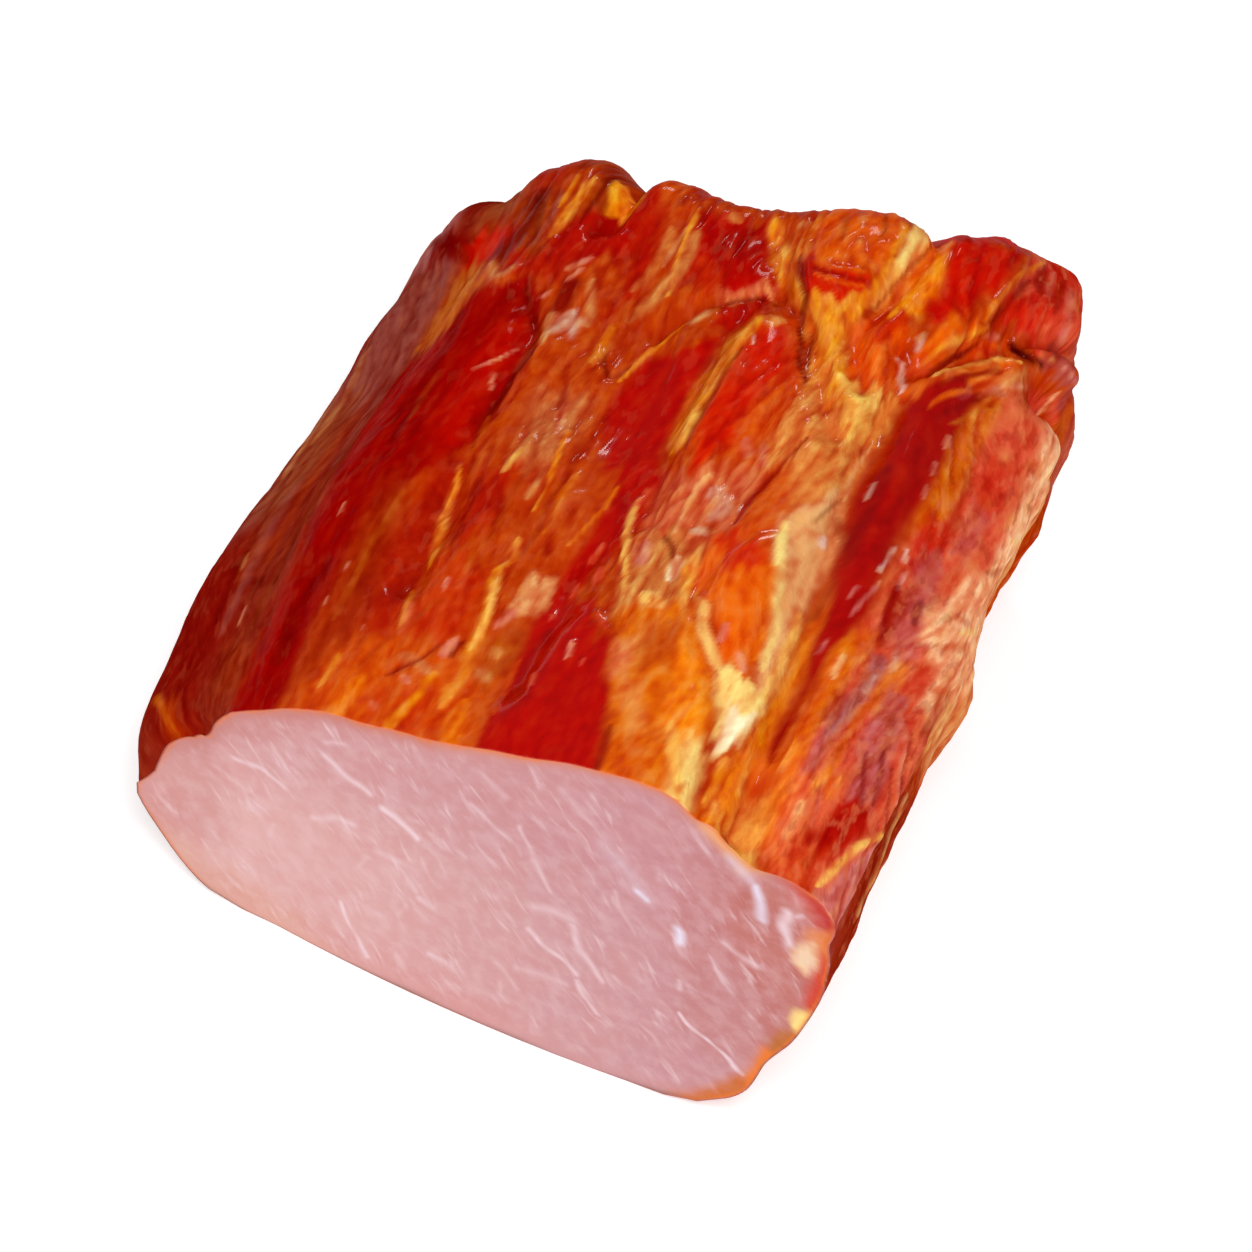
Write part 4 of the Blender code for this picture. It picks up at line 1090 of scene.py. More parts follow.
# %% [markdown]
# ## The colours of the far end
#
# The paint runs by girth and length. On the far end all girths meet in one point, so the same paint
# would make a star there. The end has the crust of the rest: lean in reds and browns, with patches of
# fat. Noise places them by their position in space instead, coarse ones first.

# %% Colour the far end
# Colour, size of its patches in mm, seed, the noise at which it starts and is full, and its strength
END_COLOURS = [
    ("red", 24.0, 3.0, -0.10, 0.25, 0.8),
    ("ember", 15.0, 17.0, -0.05, 0.30, 0.8),
    ("amber", 13.0, 41.0, 0.05, 0.35, 0.8),
    ("maroon", 11.0, 29.0, 0.10, 0.40, 0.7),
    ("salmon", 7.0, 77.0, 0.20, 0.45, 0.6),
    ("pale_gold", 10.0, 53.0, 0.20, 0.50, 0.6),
]
END_BLEND = 0.2
END_WOBBLE = 0.08

end_paint = np.broadcast_to(linear("burnt"), skin.shape).copy()
for colour, size, seed, low, high, strength in END_COLOURS:
    lay_all_over(end_paint, strength * smooth_step(low, high, rough_over(skin, size, seed)), colour)

on_end = end_share[:, None] + END_WOBBLE * crumb_across * (end_share > 0)[:, None]
on_end = smooth_step(0, END_BLEND, on_end)
paint += (end_paint - paint) * on_end[..., None]
detail *= 1 - on_end
print("far end covers", int((on_end > 0.5).sum()), "points")

# %% [markdown]
# ## The finish
#
# The skin isn't the same everywhere. Over the chain muscle and at the front it dried glassy and
# smooth, on the flanks it stayed stringy, and on the right it is mottled where fat shines through the
# lean. Three numbers say so at each vertex: how stringy, how mottled and how wet. One setting for the
# whole loin would look like plastic. Strings that turn over the far edge would all point at the middle
# of the end, so they fade there.

# %% How stringy, mottled and wet the skin is
PLAIN_FINISH = (0.9, 0.15, 0.3)
END_CALM = 0.8
FINISHES = [
    # left flank and left muscle
    ((0.45, 0.1, 0.0), 4.0, [(-2, -75), (57, -75), (57, 80), (-2, 80)]),
    ((0.4, 0.05, 0.08), 4.0, [(57, -70), (70, -70), (76, 0), (76, 36), (58, 40)]),
    # orange band and the front
    ((0.4, 0.1, 0.4), 5.0, [(70, -28), (102, -34), (104, -72), (62, -72)]),
    ((0.15, 0.0, 0.8), 3.0, [(99, -26), (110, -28), (126, -48), (128, -72), (102, -72)]),
    ((0.3, 0.1, 0.5), 3.0, [(118, -30), (136, -30), (142, -72), (126, -72)]),
    ((0.4, 0.1, 0.6), 2.0, [(96, 26), (108, 30), (109, -10), (102, -28), (96, 4)]),
    # fat and the wedge between the muscles
    ((0.3, 0.15, 0.7), 2.0, [(121, -10), (132, 4), (141, 0), (144, -40), (138, -50), (128, -34)]),
    ((0.15, 0.0, 0.5), 1.5, [(131, -6), (139, 2), (142, -4), (144, -40), (141, -54), (133, -40)]),
    # chain muscle
    ((0.3, 0.0, 1.0), 2.0, [(140, 30), (150, 34), (151, 4), (149, -26), (147, -60), (143, -60), (141, -10)]),
    # right side, mottled above and streaky below
    ((0.7, 0.65, 0.2), 3.0, [(152, 36), (165, 42), (167, 0), (168, -66), (150, -66), (152, -20)]),
    ((0.9, 0.4, 0.0), 3.0, [(166, 46), (216, 46), (216, -74), (168, -74)]),
    ((0.6, 0.7, 0.0), 3.0, [(156, 74), (172, 74), (168, 52), (158, 50)]),
    ((0.5, 0.2, 0.0), 2.0, [(157, 52), (190, 64), (190, 37), (160, 39)]),
]

finish = np.broadcast_to(PLAIN_FINISH, skin.shape).copy()
for values, soft, corners in FINISHES:
    near = near_mask(seen_girth, seen_y, corners, 3 * soft)
    weight = smooth_step(-soft, soft, from_outline(area_girth[near], area_y[near], corners))
    finish[near] += (np.array(values) - finish[near]) * weight[:, None]

turned_over = np.concatenate([np.zeros(len(BODY_SHARES)), ROUND_TURNS / 90, np.ones(len(END_SHARES))])
finish[..., 0] *= 1 - END_CALM * smooth_step(0.5, 1.0, turned_over)[:, None]
print("stringy from", round(float(finish[..., 0].min()), 2), "to", round(float(finish[..., 0].max()), 2))

# %% [markdown]
# ## The dabs
#
# Between the strokes that can be named there are hundreds of small ones: flecks of fat and dark
# creases, each a few millimetres long and lying along the grain. They are seeded, so they are the
# same each time. A dark dab doesn't bring a colour of its own: it sinks a crease and deepens the
# brown glaze along it, as painted shade, which makes gold orange and orange red. A pale dab lets some
# fat show. Soft blots, darker and paler at random, from noise along the grain, lie under the dabs.

# %% Lay the dabs along the grain
DAB_COUNT = 1800
DAB_SEED = 11
DAB_GIRTHS = (18.0, 216.0)
DAB_YS = (CUT_MIDDLE - 8, FAR_END + 4)
DAB_TILT = 0.12
DAB_LENGTHS = (2.0, 9.0)
DAB_HALF_WIDTHS = (0.3, 0.6)
DAB_STRENGTHS = (0.3, 1.0)
# How much a dab changes the colour: painted shade along a dark crease, fat in a pale fleck
DAB_TONE = 0.6
DAB_RISE = 0.18
BLOT_TONE = 0.8
BLOT_FAT = 0.8


def grain_slope(girth, y):
    """How many mm of girth a fibre moves over for each mm of y."""
    across = leaned_girth(girth + 1, y) - leaned_girth(girth - 1, y)
    along = leaned_girth(girth, y + 1) - leaned_girth(girth, y - 1)
    return -along / across


def scatter_dabs(count):
    """Middle, slope, length, half width and strength of each dab. A strength over 0 is a dark crease."""
    random = np.random.default_rng(DAB_SEED)
    girth = random.uniform(*DAB_GIRTHS, count)
    y = random.uniform(*DAB_YS, count)
    slope = grain_slope(girth, y) + random.normal(0, DAB_TILT, count)
    length = random.uniform(*DAB_LENGTHS, count)
    half_width = random.uniform(*DAB_HALF_WIDTHS, count)
    strength = random.choice([-1, 1], count) * random.uniform(*DAB_STRENGTHS, count)
    return zip(girth, y, slope, length, half_width, strength)


blots = fibres(1.7, 4.2, 31.0) + 0.6 * fibres(0.9, 1.6, 57.0)
glaze_and_shade = BLOT_TONE * np.maximum(blots, 0)
fat = BLOT_FAT * np.maximum(-blots, 0)
for girth, y, slope, length, half_width, strength in scatter_dabs(DAB_COUNT):
    reach = (slope * length / 2, length / 2)
    ends = [(girth - reach[0], y - reach[1]), (girth + reach[0], y + reach[1])]
    near = near_mask(seen_girth, seen_y, ends, 2.5 * half_width) & (on_end < 0.5)
    gap, along = near_path(stroke_girth[near], stroke_y[near], ends)
    shape = strength * np.exp(-((gap / half_width) ** 2)) * (1 - (2 * along - 1) ** 2)
    # Painted shade: a dark dab deepens the glaze along its sunk crease
    glaze_and_shade[near] += DAB_TONE * np.maximum(shape, 0) * finish[near][:, 0]
    fat[near] += DAB_TONE * np.maximum(-shape, 0) * finish[near][:, 0]
    detail[near] -= DAB_RISE * shape * finish[near][:, 0]

print(DAB_COUNT, "dabs laid")

# %% [markdown]
# ## The fine relief
#
# Dried meat is stringy. The strokes and dabs already raise their threads and sink their creases. The
# fibre noise adds strings everywhere else, with small pits where the surface shrank. Bump in a
# material could fake it, but it would be missing from the mesh, so only what is finer than the sheet
# is left to the material. The hollows and creases are also painted darker, as painted shade, and the
# lip beside each crease gets a painted highlight on the side that the key lamp lights. The three
# numbers of the glaze are how fast it takes out red, green and blue. Where fat shows, and on those
# painted highlights, the paint turns pale over gold and flame over red.

# %% Raise the strings, paint shade into the hollows and creases, and highlights on the lips
STRING_HEIGHT = 0.20
THREAD_HEIGHT = 0.10
PIT_HEIGHT = 0.18
CRUMB_HEIGHT = 0.10
# Painted shade: how dark the hollows get, how far their depth is averaged, and the range it is held in
HOLLOW_SHADE = 0.55
HOLLOW_SPREAD = 40
HOLLOW_RANGE = (-0.2, 1.2)
FRONT_FADE = (0.0, 4.0)
# What Blender's ridged noise takes, and the percentiles of it where a crease starts and is full
RIDGE_SHAPE = (1.0, 2.1, 2, 1.0, 2.0)
RIDGE_SHARES = (62, 97)
CREASE_DEPTH = 0.30
# Painted shade in each crease
CREASE_SHADE = 0.65
LIP_HEIGHT = 0.14
# Painted highlight on the lip beside each crease, on the side that the key lamp lights
LIP_HIGHLIGHT = 0.40
LIP_OFFSET = 2
GLAZE = (0.32, 1.25, 1.6)
FAT_SHARE = 0.5
GOLDEN_REACH = 6.0
SMOKE_REACH = 1.4


def ridges(across, along, seed):
    """0 to 1, with 1 on thin lines along the grain, across mm apart and along mm long."""
    places = np.stack([grain_x / across + seed, skin_y / along, grain_z / across], axis=-1).reshape(-1, 3)
    values = [noise.ridged_multi_fractal(place, *RIDGE_SHAPE) for place in places.tolist()]
    values = np.array(values).reshape(grain_x.shape)
    low, high = np.percentile(values, RIDGE_SHARES)
    print("ridges start at", round(float(low), 2), "and are full at", round(float(high), 2))
    return smooth_step(low, high, values)


creases = ridges(3.8, 17.0, 12.0) * finish[..., 0]
lips = np.roll(creases, -LIP_OFFSET, axis=1)

strings = STRING_HEIGHT * broad_fibre + THREAD_HEIGHT * fine_fibre
strings = strings + PIT_HEIGHT * blotch + CRUMB_HEIGHT * crumb
front_edge = smooth_step(*FRONT_FADE, skin_y - cut_plane(skin[..., 0], skin[..., 2]))
detail = detail + strings * finish[..., 0] - CREASE_DEPTH * creases + LIP_HEIGHT * lips
detail = detail * np.where(rests, 0, 1) * front_edge
skin = skin + outward(skin) * detail[..., None]

# Painted shade: the hollows are where the relief lies under its softened self, and they and the creases are
# darkened
whole_relief = (height + detail)[..., None]
hollow_shade = (softened(whole_relief, HOLLOW_SPREAD) - whole_relief)[..., 0]
glaze_and_shade += HOLLOW_SHADE * np.clip(hollow_shade, *HOLLOW_RANGE) + CREASE_SHADE * creases
# Painted highlight: the lip beside each crease turns pale, as fat does
fat += LIP_HIGHLIGHT * lips
golden = np.clip(GOLDEN_REACH * paint[..., 1:2], 0, 1)
fibre_colour = linear("flame") + (linear("fat_light") - linear("flame")) * golden
thin_smoke = np.clip(SMOKE_REACH * paint[..., 0:1], 0, 1)
paint = paint + (fibre_colour - paint) * FAT_SHARE * np.clip(fat, 0, 1)[..., None] * thin_smoke
paint = np.minimum(1, paint * np.exp(-glaze_and_shade[..., None] * np.array(GLAZE)))
print("tone from", round(float(glaze_and_shade.min()), 2), "to", round(float(glaze_and_shade.max()), 2))

# %% [markdown]
# A knife leaves a plane, so the rows of the cut, from the middle out to the rim, all lie on one.
# Bisecting a closed loin would give a plane too, but its one large face couldn't carry the colours
# of the rim.


# %% Close the cut
def close_cut(rim):
    """Rows from the middle of the cut out to the rim, all on the knife's plane."""
    middle = np.array([CORE[0], 0, CORE[1]])
    shares = CUT_SHARES[::-1, None]
    rows = rim[None] + (middle - rim)[None] * shares[..., None]
    rows[..., 1] = cut_plane(rows[..., 0], rows[..., 2])
    return rows


skin[0, :, 1] = cut_plane(skin[0, :, 0], skin[0, :, 2])
cut = close_cut(skin[0])
sheet = np.concatenate([cut, skin])
sheet[..., 2] = np.maximum(0, sheet[..., 2])
print("sheet spans", np.round(sheet.reshape(-1, 3).max(0) - sheet.reshape(-1, 3).min(0), 1), "mm")

# %% [markdown]
# ## The colours of the cut
#
# Cut across, a smoked loin is pale pink, a little more beige at the thin end and more mauve at the
# thick end. The smoke goes in only a millimetre, so the rim is a thin line, golden on top and brown
# where it lay, with painted shadow in that brown line and in a darker band along the bottom of the
# cut, where it meets the table. At the thick end the knife went through the small side muscle, which
# is redder, with cream fat round it. These areas are painted by x and z, in the same way as the skin.
# The finish's first number has another use here: it is 0 at the rim, which keeps the fine marbling off
# it.

# %% Paint the cut
CUT_LEFT = "cut_beige"
CUT_RIGHT = "cut_mauve"
RIGHT_FROM = (-45, 45)
RIM_GLOW = 2.0
RIM_GLOW_SHARE = 0.7
RIM_LINE = 0.5
RIM_LINE_SHARE = 0.8
RIM_LINE_SPREAD = 1.3
MEAT_FROM_RIM = (0.5, 4.5)
ON_TOP = (1.0, 4.0)
GLOW_FROM_X = (-50, -22)
CUT_WOBBLE = 0.8

CUT_AREAS = [
    ("cut_shade", 12.0, 0.5, [(-60, 82), (62, 82), (62, 42), (20, 42), (-60, 32)]),
    ("cut_shade", 5.0, 0.3, [(36, 66), (52, 62), (54, 40), (48, 8), (36, 4), (34, 30)]),
    # Painted shade: a darker band along the bottom of the cut, where it meets the table
    ("cut_rose", 3.0, 0.45, [(-62, 6), (-30, 7), (6, 6.5), (10, -2), (-62, -2)]),
    ("cut_red", 4.0, 0.35, [(-58, 36), (-44, 40), (-40, 30), (-43, 14), (-52, 11), (-58, 18)]),
    ("cut_red", 2.5, 0.45, [(-50, 42), (-36, 51), (-27, 56.5), (-18, 60), (-4, 63), (-4, 59.5), (-18, 55.5),
                            (-27, 50), (-36, 43.5), (-46, 34)]),
    ("cut_red", 3.5, 0.6, [(-59, 28), (-50, 32), (-40, 48), (-28, 57), (-32, 64), (-46, 56), (-59, 44)]),
    ("cut_red", 3.5, 0.7, [(49, 62), (62, 62), (62, 20), (50, 16)]),
    ("cut_tan", 4.0, 0.6, [(-60, -2), (-20, -2), (-30, 6), (-48, 10), (-54, 16), (-62, 14)]),
    ("cut_rose", 3.0, 0.6, [(-60, 24), (-50, 22), (-48, 14), (-56, 10), (-62, 16)]),
    ("cut_red", 3.0, 0.8, [(45, 58), (52, 62), (62, 62), (62, 48), (56, 35), (48, 36), (44, 46)]),
    ("cut_red", 3.0, 0.35, [(40, 66), (60, 60), (60, 30), (44, 14), (36, 20), (36, 44)]),
    ("flame", 2.5, 0.75, [(53, 64), (63, 66), (63, 52), (58.5, 55)]),
    ("red", 1.5, 0.85, [(57.5, 62), (64, 64), (64, 48), (60, 52)]),
    ("apricot", 1.2, 0.8, [(57.5, 55), (61, 56), (61, 47), (57, 44), (55, 47)]),
    ("fat_cream", 1.0, 0.9, [(56, 50), (58.6, 52), (59, 48), (57.5, 44.5), (55.5, 46)]),
    ("flame", 1.0, 1.0, [(58.5, 44), (60, 51), (63, 51), (61, 37), (58.5, 35.5), (56.8, 37)]),
    ("butter", 0.9, 0.95, [(55.8, 35), (59, 36), (58.5, 31), (56.5, 28.5), (54.8, 31)]),
    ("ochre", 0.9, 1.0, [(53.5, 29), (58, 30), (53, 20), (51, 20), (51.5, 24)]),
    ("amber", 0.9, 1.0, [(50.6, 23), (53.5, 22), (50, 10), (47.6, 12), (49, 17)]),
    ("honey", 1.2, 1.0, [(47, 14), (50, 12), (43, 1), (36, -1), (40, 5)]),
    ("peach", 2.0, 0.7, [(38, 70), (46, 70), (50, 63), (47, 61), (42, 65)]),
]

cut_share = CUT_SHARES[::-1, None] * np.ones(len(columns))
to_rim = cut_share * np.hypot(skin[0, :, 0] - CORE[0], skin[0, :, 2] - CORE[1])
cut_x, cut_z = cut[..., 0], cut[..., 2]
cut_crumb = rough_over(cut, 4.0, 3.0)
across = smooth_step(*RIGHT_FROM, cut_x)[..., None]
cut_paint = linear(CUT_LEFT) + (linear(CUT_RIGHT) - linear(CUT_LEFT)) * across
on_top = smooth_step(*ON_TOP, cut_z)
glow = RIM_GLOW_SHARE * np.exp(-((to_rim / RIM_GLOW) ** 2)) * on_top * smooth_step(*GLOW_FROM_X, cut_x)
lay_all_over(cut_paint, glow, "apricot")
for colour, soft, strength, corners in CUT_AREAS:
    gap = from_outline(cut_x + CUT_WOBBLE * cut_crumb, cut_z + CUT_WOBBLE * cut_crumb, corners)
    lay_all_over(cut_paint, strength * smooth_step(-soft, soft, gap), colour)

line = RIM_LINE_SHARE * np.exp(-((to_rim / (RIM_LINE * (RIM_LINE_SPREAD + cut_crumb))) ** 2))
lay_all_over(cut_paint, line * on_top, "amber")
# Along the bottom the rim line is brown crust with painted shadow, where the cut meets the table
lay_all_over(cut_paint, line * (1 - on_top), "under_rim_and_shadow")
print(len(CUT_AREAS), "areas on the cut,", int((to_rim[:, 0] < RIM_GLOW).sum()), "rows near the rim")

cut_finish = np.zeros(cut.shape)
cut_finish[..., 0] = smooth_step(*MEAT_FROM_RIM, to_rim)
all_paint = np.concatenate([cut_paint, paint])
all_finish = np.concatenate([cut_finish, finish])
grain = np.stack([grain_x, skin_y, grain_z], axis=-1)
all_grain = np.concatenate([cut, grain])

# %% [markdown]
# ## Roll the sheet
#
# The grid operator makes the flat sheet. Its vertices are then put in place, its two long sides are
# welded along the lower left edge, and the first and last row, whose points already meet, are welded
# to one point each. What is left is one closed skin.


# %% Make the mesh
def roll_sheet(points, colours, finishes, grains):
    """One closed mesh from rows and columns of points in mm, with its paint, finish and grain on it."""
    row_count, column_count = points.shape[:2]
    bm = bmesh.new()
    paint_layer = bm.verts.layers.float_color.new("paint")
    finish_layer = bm.verts.layers.float_vector.new("finish")
    grain_layer = bm.verts.layers.float_vector.new("grain")
    bmesh.ops.create_grid(bm, x_segments=column_count, y_segments=row_count - 1, size=0.5)
    for vert in bm.verts:
        column = round((vert.co.x + 0.5) * column_count) % column_count
        row = round((vert.co.y + 0.5) * (row_count - 1))
        x, y, z = points[row, column]
        vert.co = ((x - MIDDLE[0]) * MM, (y - MIDDLE[1]) * MM, z * MM)
        vert[paint_layer] = (*colours[row, column], 1.0)
        vert[finish_layer] = finishes[row, column]
        vert[grain_layer] = grains[row, column] * MM
    for index, face in enumerate(bm.faces):
        face.smooth = True
        face.material_index = 1 if index // column_count < CUT_ROWS else 0
    bmesh.ops.remove_doubles(bm, verts=bm.verts, dist=1e-7)
    bmesh.ops.recalc_face_normals(bm, faces=bm.faces)
    mesh = bpy.data.meshes.new("smoked_loin")
    bm.to_mesh(mesh)
    bm.free()
    return mesh


loin_mesh = roll_sheet(sheet, all_paint, all_finish, all_grain)
loin = bpy.data.objects.new("smoked_loin", loin_mesh)
bpy.context.scene.collection.objects.link(loin)
loin_mesh.calc_loop_triangles()
print("smoked_loin has", len(loin_mesh.loop_triangles), "triangles")

# %% [markdown]
# ## The materials
#
# Both materials are wet meat, so both use the same fine grain: small fibres and pores that break up
# colour, gloss and bump. It is a node group, built once. A second group is the glaze that smoke
# leaves, the same as on the paint. The helpers below make nodes and link them, so that each material
# reads as a list of what it mixes.


# %% Helpers for nodes
def set_inputs(node, values):
    """Sets inputs of a node by name."""
    for name, value in values.items():
        node.inputs[name].default_value = value


def add_node(tree, kind, inputs=None, **settings):
    """A new node with its settings, then its inputs by name."""
    node = tree.nodes.new(kind)
    for name, value in settings.items():
        setattr(node, name, value)
    set_inputs(node, inputs or {})
    return node


def feed(tree, sockets, values):
    """Links each input to a socket, or sets it where its value is a plain number, vector or colour."""
    for socket, value in zip(sockets, values):
        if isinstance(value, bpy.types.NodeSocket):
            tree.links.new(value, socket)
        else:
            socket.default_value = value


def maths(tree, operation, first, second):
    """A Math node whose two inputs are sockets or numbers."""
    node = add_node(tree, "ShaderNodeMath", operation=operation)
    feed(tree, node.inputs, (first, second))
    return node.outputs[0]


def vector_maths(tree, operation, first, second):
    """A Vector Math node whose two inputs are sockets or vectors."""
    node = add_node(tree, "ShaderNodeVectorMath", operation=operation)
    feed(tree, node.inputs, (first, second))
    return node


def remap(tree, value, low, high, new_low, new_high):
    """A value moved from one range to another along an even S, held inside the new one."""
    node = add_node(tree, "ShaderNodeMapRange", interpolation_type="SMOOTHSTEP")
    feed(tree, node.inputs, (value, low, high, new_low, new_high))
    return node.outputs["Result"]


def mixed(tree, amount, first, colour):
    """A colour, mixed by an amount with one from the palette."""
    node = add_node(tree, "ShaderNodeMix", data_type="RGBA")
    sockets = (node.inputs[0], node.inputs[6], node.inputs[7])
    feed(tree, sockets, (amount, first, (*linear(colour), 1.0)))
    return node.outputs[2]


def scaled_noise(tree, vector, scale, detail_steps, distortion=0.0, output="Fac"):
    """Noise on coordinates that are scaled by three numbers, each 1 over a size in metres."""
    mapping = add_node(tree, "ShaderNodeMapping", inputs={"Scale": scale})
    tree.links.new(vector, mapping.inputs["Vector"])
    values = {"Scale": 1.0, "Detail": detail_steps, "Distortion": distortion}
    made = add_node(tree, "ShaderNodeTexNoise", inputs=values)
    tree.links.new(mapping.outputs["Vector"], made.inputs["Vector"])
    return made.outputs[output]


def wandering(tree, vector, scale, distance):
    """The same place moved about by slow noise, so that no pattern on it runs dead straight."""
    moves = scaled_noise(tree, vector, (scale,) * 3, 0.0, output="Color")
    centred = vector_maths(tree, "SUBTRACT", moves, (0.5, 0.5, 0.5)).outputs[0]
    step = vector_maths(tree, "MULTIPLY", centred, (2 * distance,) * 3).outputs[0]
    return vector_maths(tree, "ADD", vector, step).outputs[0]


def read(tree, name, output="Vector"):
    """What an attribute of the mesh says at each place."""
    return add_node(tree, "ShaderNodeAttribute", attribute_name=name).outputs[output]


def read_finish(tree):
    """The three numbers of the finish."""
    split = add_node(tree, "ShaderNodeSeparateXYZ")
    tree.links.new(read(tree, "finish"), split.inputs[0])
    return split.outputs


# %% [markdown]
# Seen close, lean meat is fibres about a millimetre wide that run with the grain, and pores between
# them. A wave texture would give even stripes. So the fibres are noise, on coordinates that are
# squeezed across the grain and drawn out along it. The group puts out masks and a height, and each
# material decides what they do.

# %% The grain that both materials share
# Scales are 1 over a size in metres. A bend is a scale, and how far in metres it moves a place
FIBRE_BEND = (170, 0.0022)
FIBRE_SCALE = (1000, 260, 1000)
PORE_SCALE = (900, 620, 900)
SPOT_SCALE = (560, 190, 560)


def new_group(name, inputs, outputs):
    """An empty node group, with its sockets given as names and kinds, and its two ends."""
    group = bpy.data.node_groups.new(name, "ShaderNodeTree")
    for way, sockets in (("INPUT", inputs), ("OUTPUT", outputs)):
        for socket, kind in sockets.items():
            group.interface.new_socket(socket, in_out=way, socket_type="NodeSocket" + kind)
    return group, add_node(group, "NodeGroupInput").outputs, add_node(group, "NodeGroupOutput").inputs


def build_grain_group():
    """Masks of fibres, pores and flecks from the straightened grain of the meat."""
    masks = dict.fromkeys(("Fibre", "Pores", "Flecks", "Height"), "Float")
    group, source, target = new_group("meat_grain", {"Grain": "Vector"}, masks)
    place = wandering(group, source["Grain"], *FIBRE_BEND)
    fibre = scaled_noise(group, place, FIBRE_SCALE, 2.0)
    pores = scaled_noise(group, source["Grain"], PORE_SCALE, 1.0)
    spots = scaled_noise(group, place, SPOT_SCALE, 1.0)
    flecks = remap(group, spots, 0.57, 0.70, 0.0, 1.0)
    fibre_height = maths(group, "MULTIPLY", fibre, 0.6)
    height = maths(group, "ADD", fibre_height, maths(group, "MULTIPLY", pores, 0.4))
    for name, value in zip(masks, (fibre, pores, flecks, height)):
        group.links.new(value, target[name])
    return group


GRAIN_GROUP = build_grain_group()


def new_material(name):
    """An empty material with its Principled shader."""
    material = bpy.data.materials.new(name)
    material.use_nodes = True
    return material, material.node_tree, material.node_tree.nodes["Principled BSDF"]


def place_grain(tree):
    """The grain group in a material, reading the loin's grain attribute."""
    grain_vector = read(tree, "grain")
    group = add_node(tree, "ShaderNodeGroup", node_tree=GRAIN_GROUP)
    tree.links.new(grain_vector, group.inputs["Grain"])
    return group, grain_vector


def build_glaze_group():
    """A colour under more or less of the brown glaze, which takes blue out first and red last."""
    wanted = {"Colour": "Color", "Depth": "Float"}
    group, source, target = new_group("smoke_glaze", wanted, {"Colour": "Color"})
    shares = add_node(group, "ShaderNodeCombineXYZ")
    for channel, strength in enumerate(GLAZE):
        left = maths(group, "POWER", math.exp(-strength), source["Depth"])
        group.links.new(left, shares.inputs[channel])
    glazed = vector_maths(group, "MULTIPLY", source["Colour"], shares.outputs[0]).outputs[0]
    group.links.new(glazed, target["Colour"])
    return group


GLAZE_GROUP = build_glaze_group()
print("groups", [group.name for group in bpy.data.node_groups])


def bumped(tree, shader, height, distance):
    """Feeds a height to the shader as bump."""
    bump = add_node(tree, "ShaderNodeBump", inputs={"Distance": distance, "Strength": 1.0})
    tree.links.new(height, bump.inputs["Height"])
    tree.links.new(bump.outputs["Normal"], shader.inputs["Normal"])


# %% [markdown]
# The crust reads the painted colour and breaks it up along the fibres. A dark fibre has more glaze and
# a pale one less. Where the finish says mottled, pale and dark marks lie in it. The shine is a coat over
# a surface without any of its own, because smoked fat is wet only in places: the finish says where.

# %% The crust
SKIN_SPECULAR = 0.0
SKIN_COAT = 0.30
SKIN_COAT_ROUGHNESS = 0.11
SKIN_BUMP = 0.0004
STREAK_SCALE = (420, 80, 420)
STRAND_GLAZE = (0.30, -0.16)
FLECK_GLAZE = -0.16
MARK_SCALE = (620, 240, 620)
PALE_MARK = 0.65
DARK_MARK = 0.55


def build_crust():
    """Smoked skin: painted colour, deepened along the fibres, wet on top."""
    material, tree, shader = new_material("smoked_crust")
    group, grain_vector = place_grain(tree)
    painted = read(tree, "paint", "Color")
    stringy, mottled, wet = read_finish(tree)
    streaks = scaled_noise(tree, grain_vector, STREAK_SCALE, 3.0, 0.6)
    both = maths(tree, "ADD", group.outputs["Fibre"], streaks)
    strands = maths(tree, "MULTIPLY", both, 0.5)
    by_strand = remap(tree, strands, 0.36, 0.64, *STRAND_GLAZE)
    by_fleck = maths(tree, "MULTIPLY", group.outputs["Flecks"], FLECK_GLAZE)
    change = maths(tree, "ADD", by_strand, by_fleck)
    glaze = add_node(tree, "ShaderNodeGroup", node_tree=GLAZE_GROUP)
    tree.links.new(painted, glaze.inputs["Colour"])
    tree.links.new(maths(tree, "MULTIPLY", change, stringy), glaze.inputs["Depth"])
    marks = scaled_noise(tree, grain_vector, MARK_SCALE, 2.0)
    pale = maths(tree, "MULTIPLY", remap(tree, marks, 0.53, 0.66, 0.0, PALE_MARK), mottled)
    dark = maths(tree, "MULTIPLY", remap(tree, marks, 0.34, 0.46, DARK_MARK, 0.0), mottled)
    with_pale = mixed(tree, pale, glaze.outputs["Colour"], "salmon")
    with_dark = mixed(tree, dark, with_pale, "deep_red")
    tree.links.new(with_dark, shader.inputs["Base Color"])
    tree.links.new(remap(tree, group.outputs["Pores"], 0.35, 0.65, 0.22, 0.36), shader.inputs["Roughness"])
    tree.links.new(maths(tree, "MULTIPLY", wet, SKIN_COAT), shader.inputs["Coat Weight"])
    set_inputs(shader, {"Specular IOR Level": SKIN_SPECULAR, "Coat Roughness": SKIN_COAT_ROUGHNESS})
    bumped(tree, shader, group.outputs["Height"], SKIN_BUMP)
    return material


# %% [markdown]
# The threads of fat in the cut are marbling, and each lies where the knife met it. They are straight
# runs between points, by x and z in mm, with a half width in mm and a strength. One node group makes
# the mask of one run, and a loop places it. The place they read wanders a little, so the runs bend.
# The glosses are painted reflections: bright spots where the wet thick end shines, drawn in the same way.

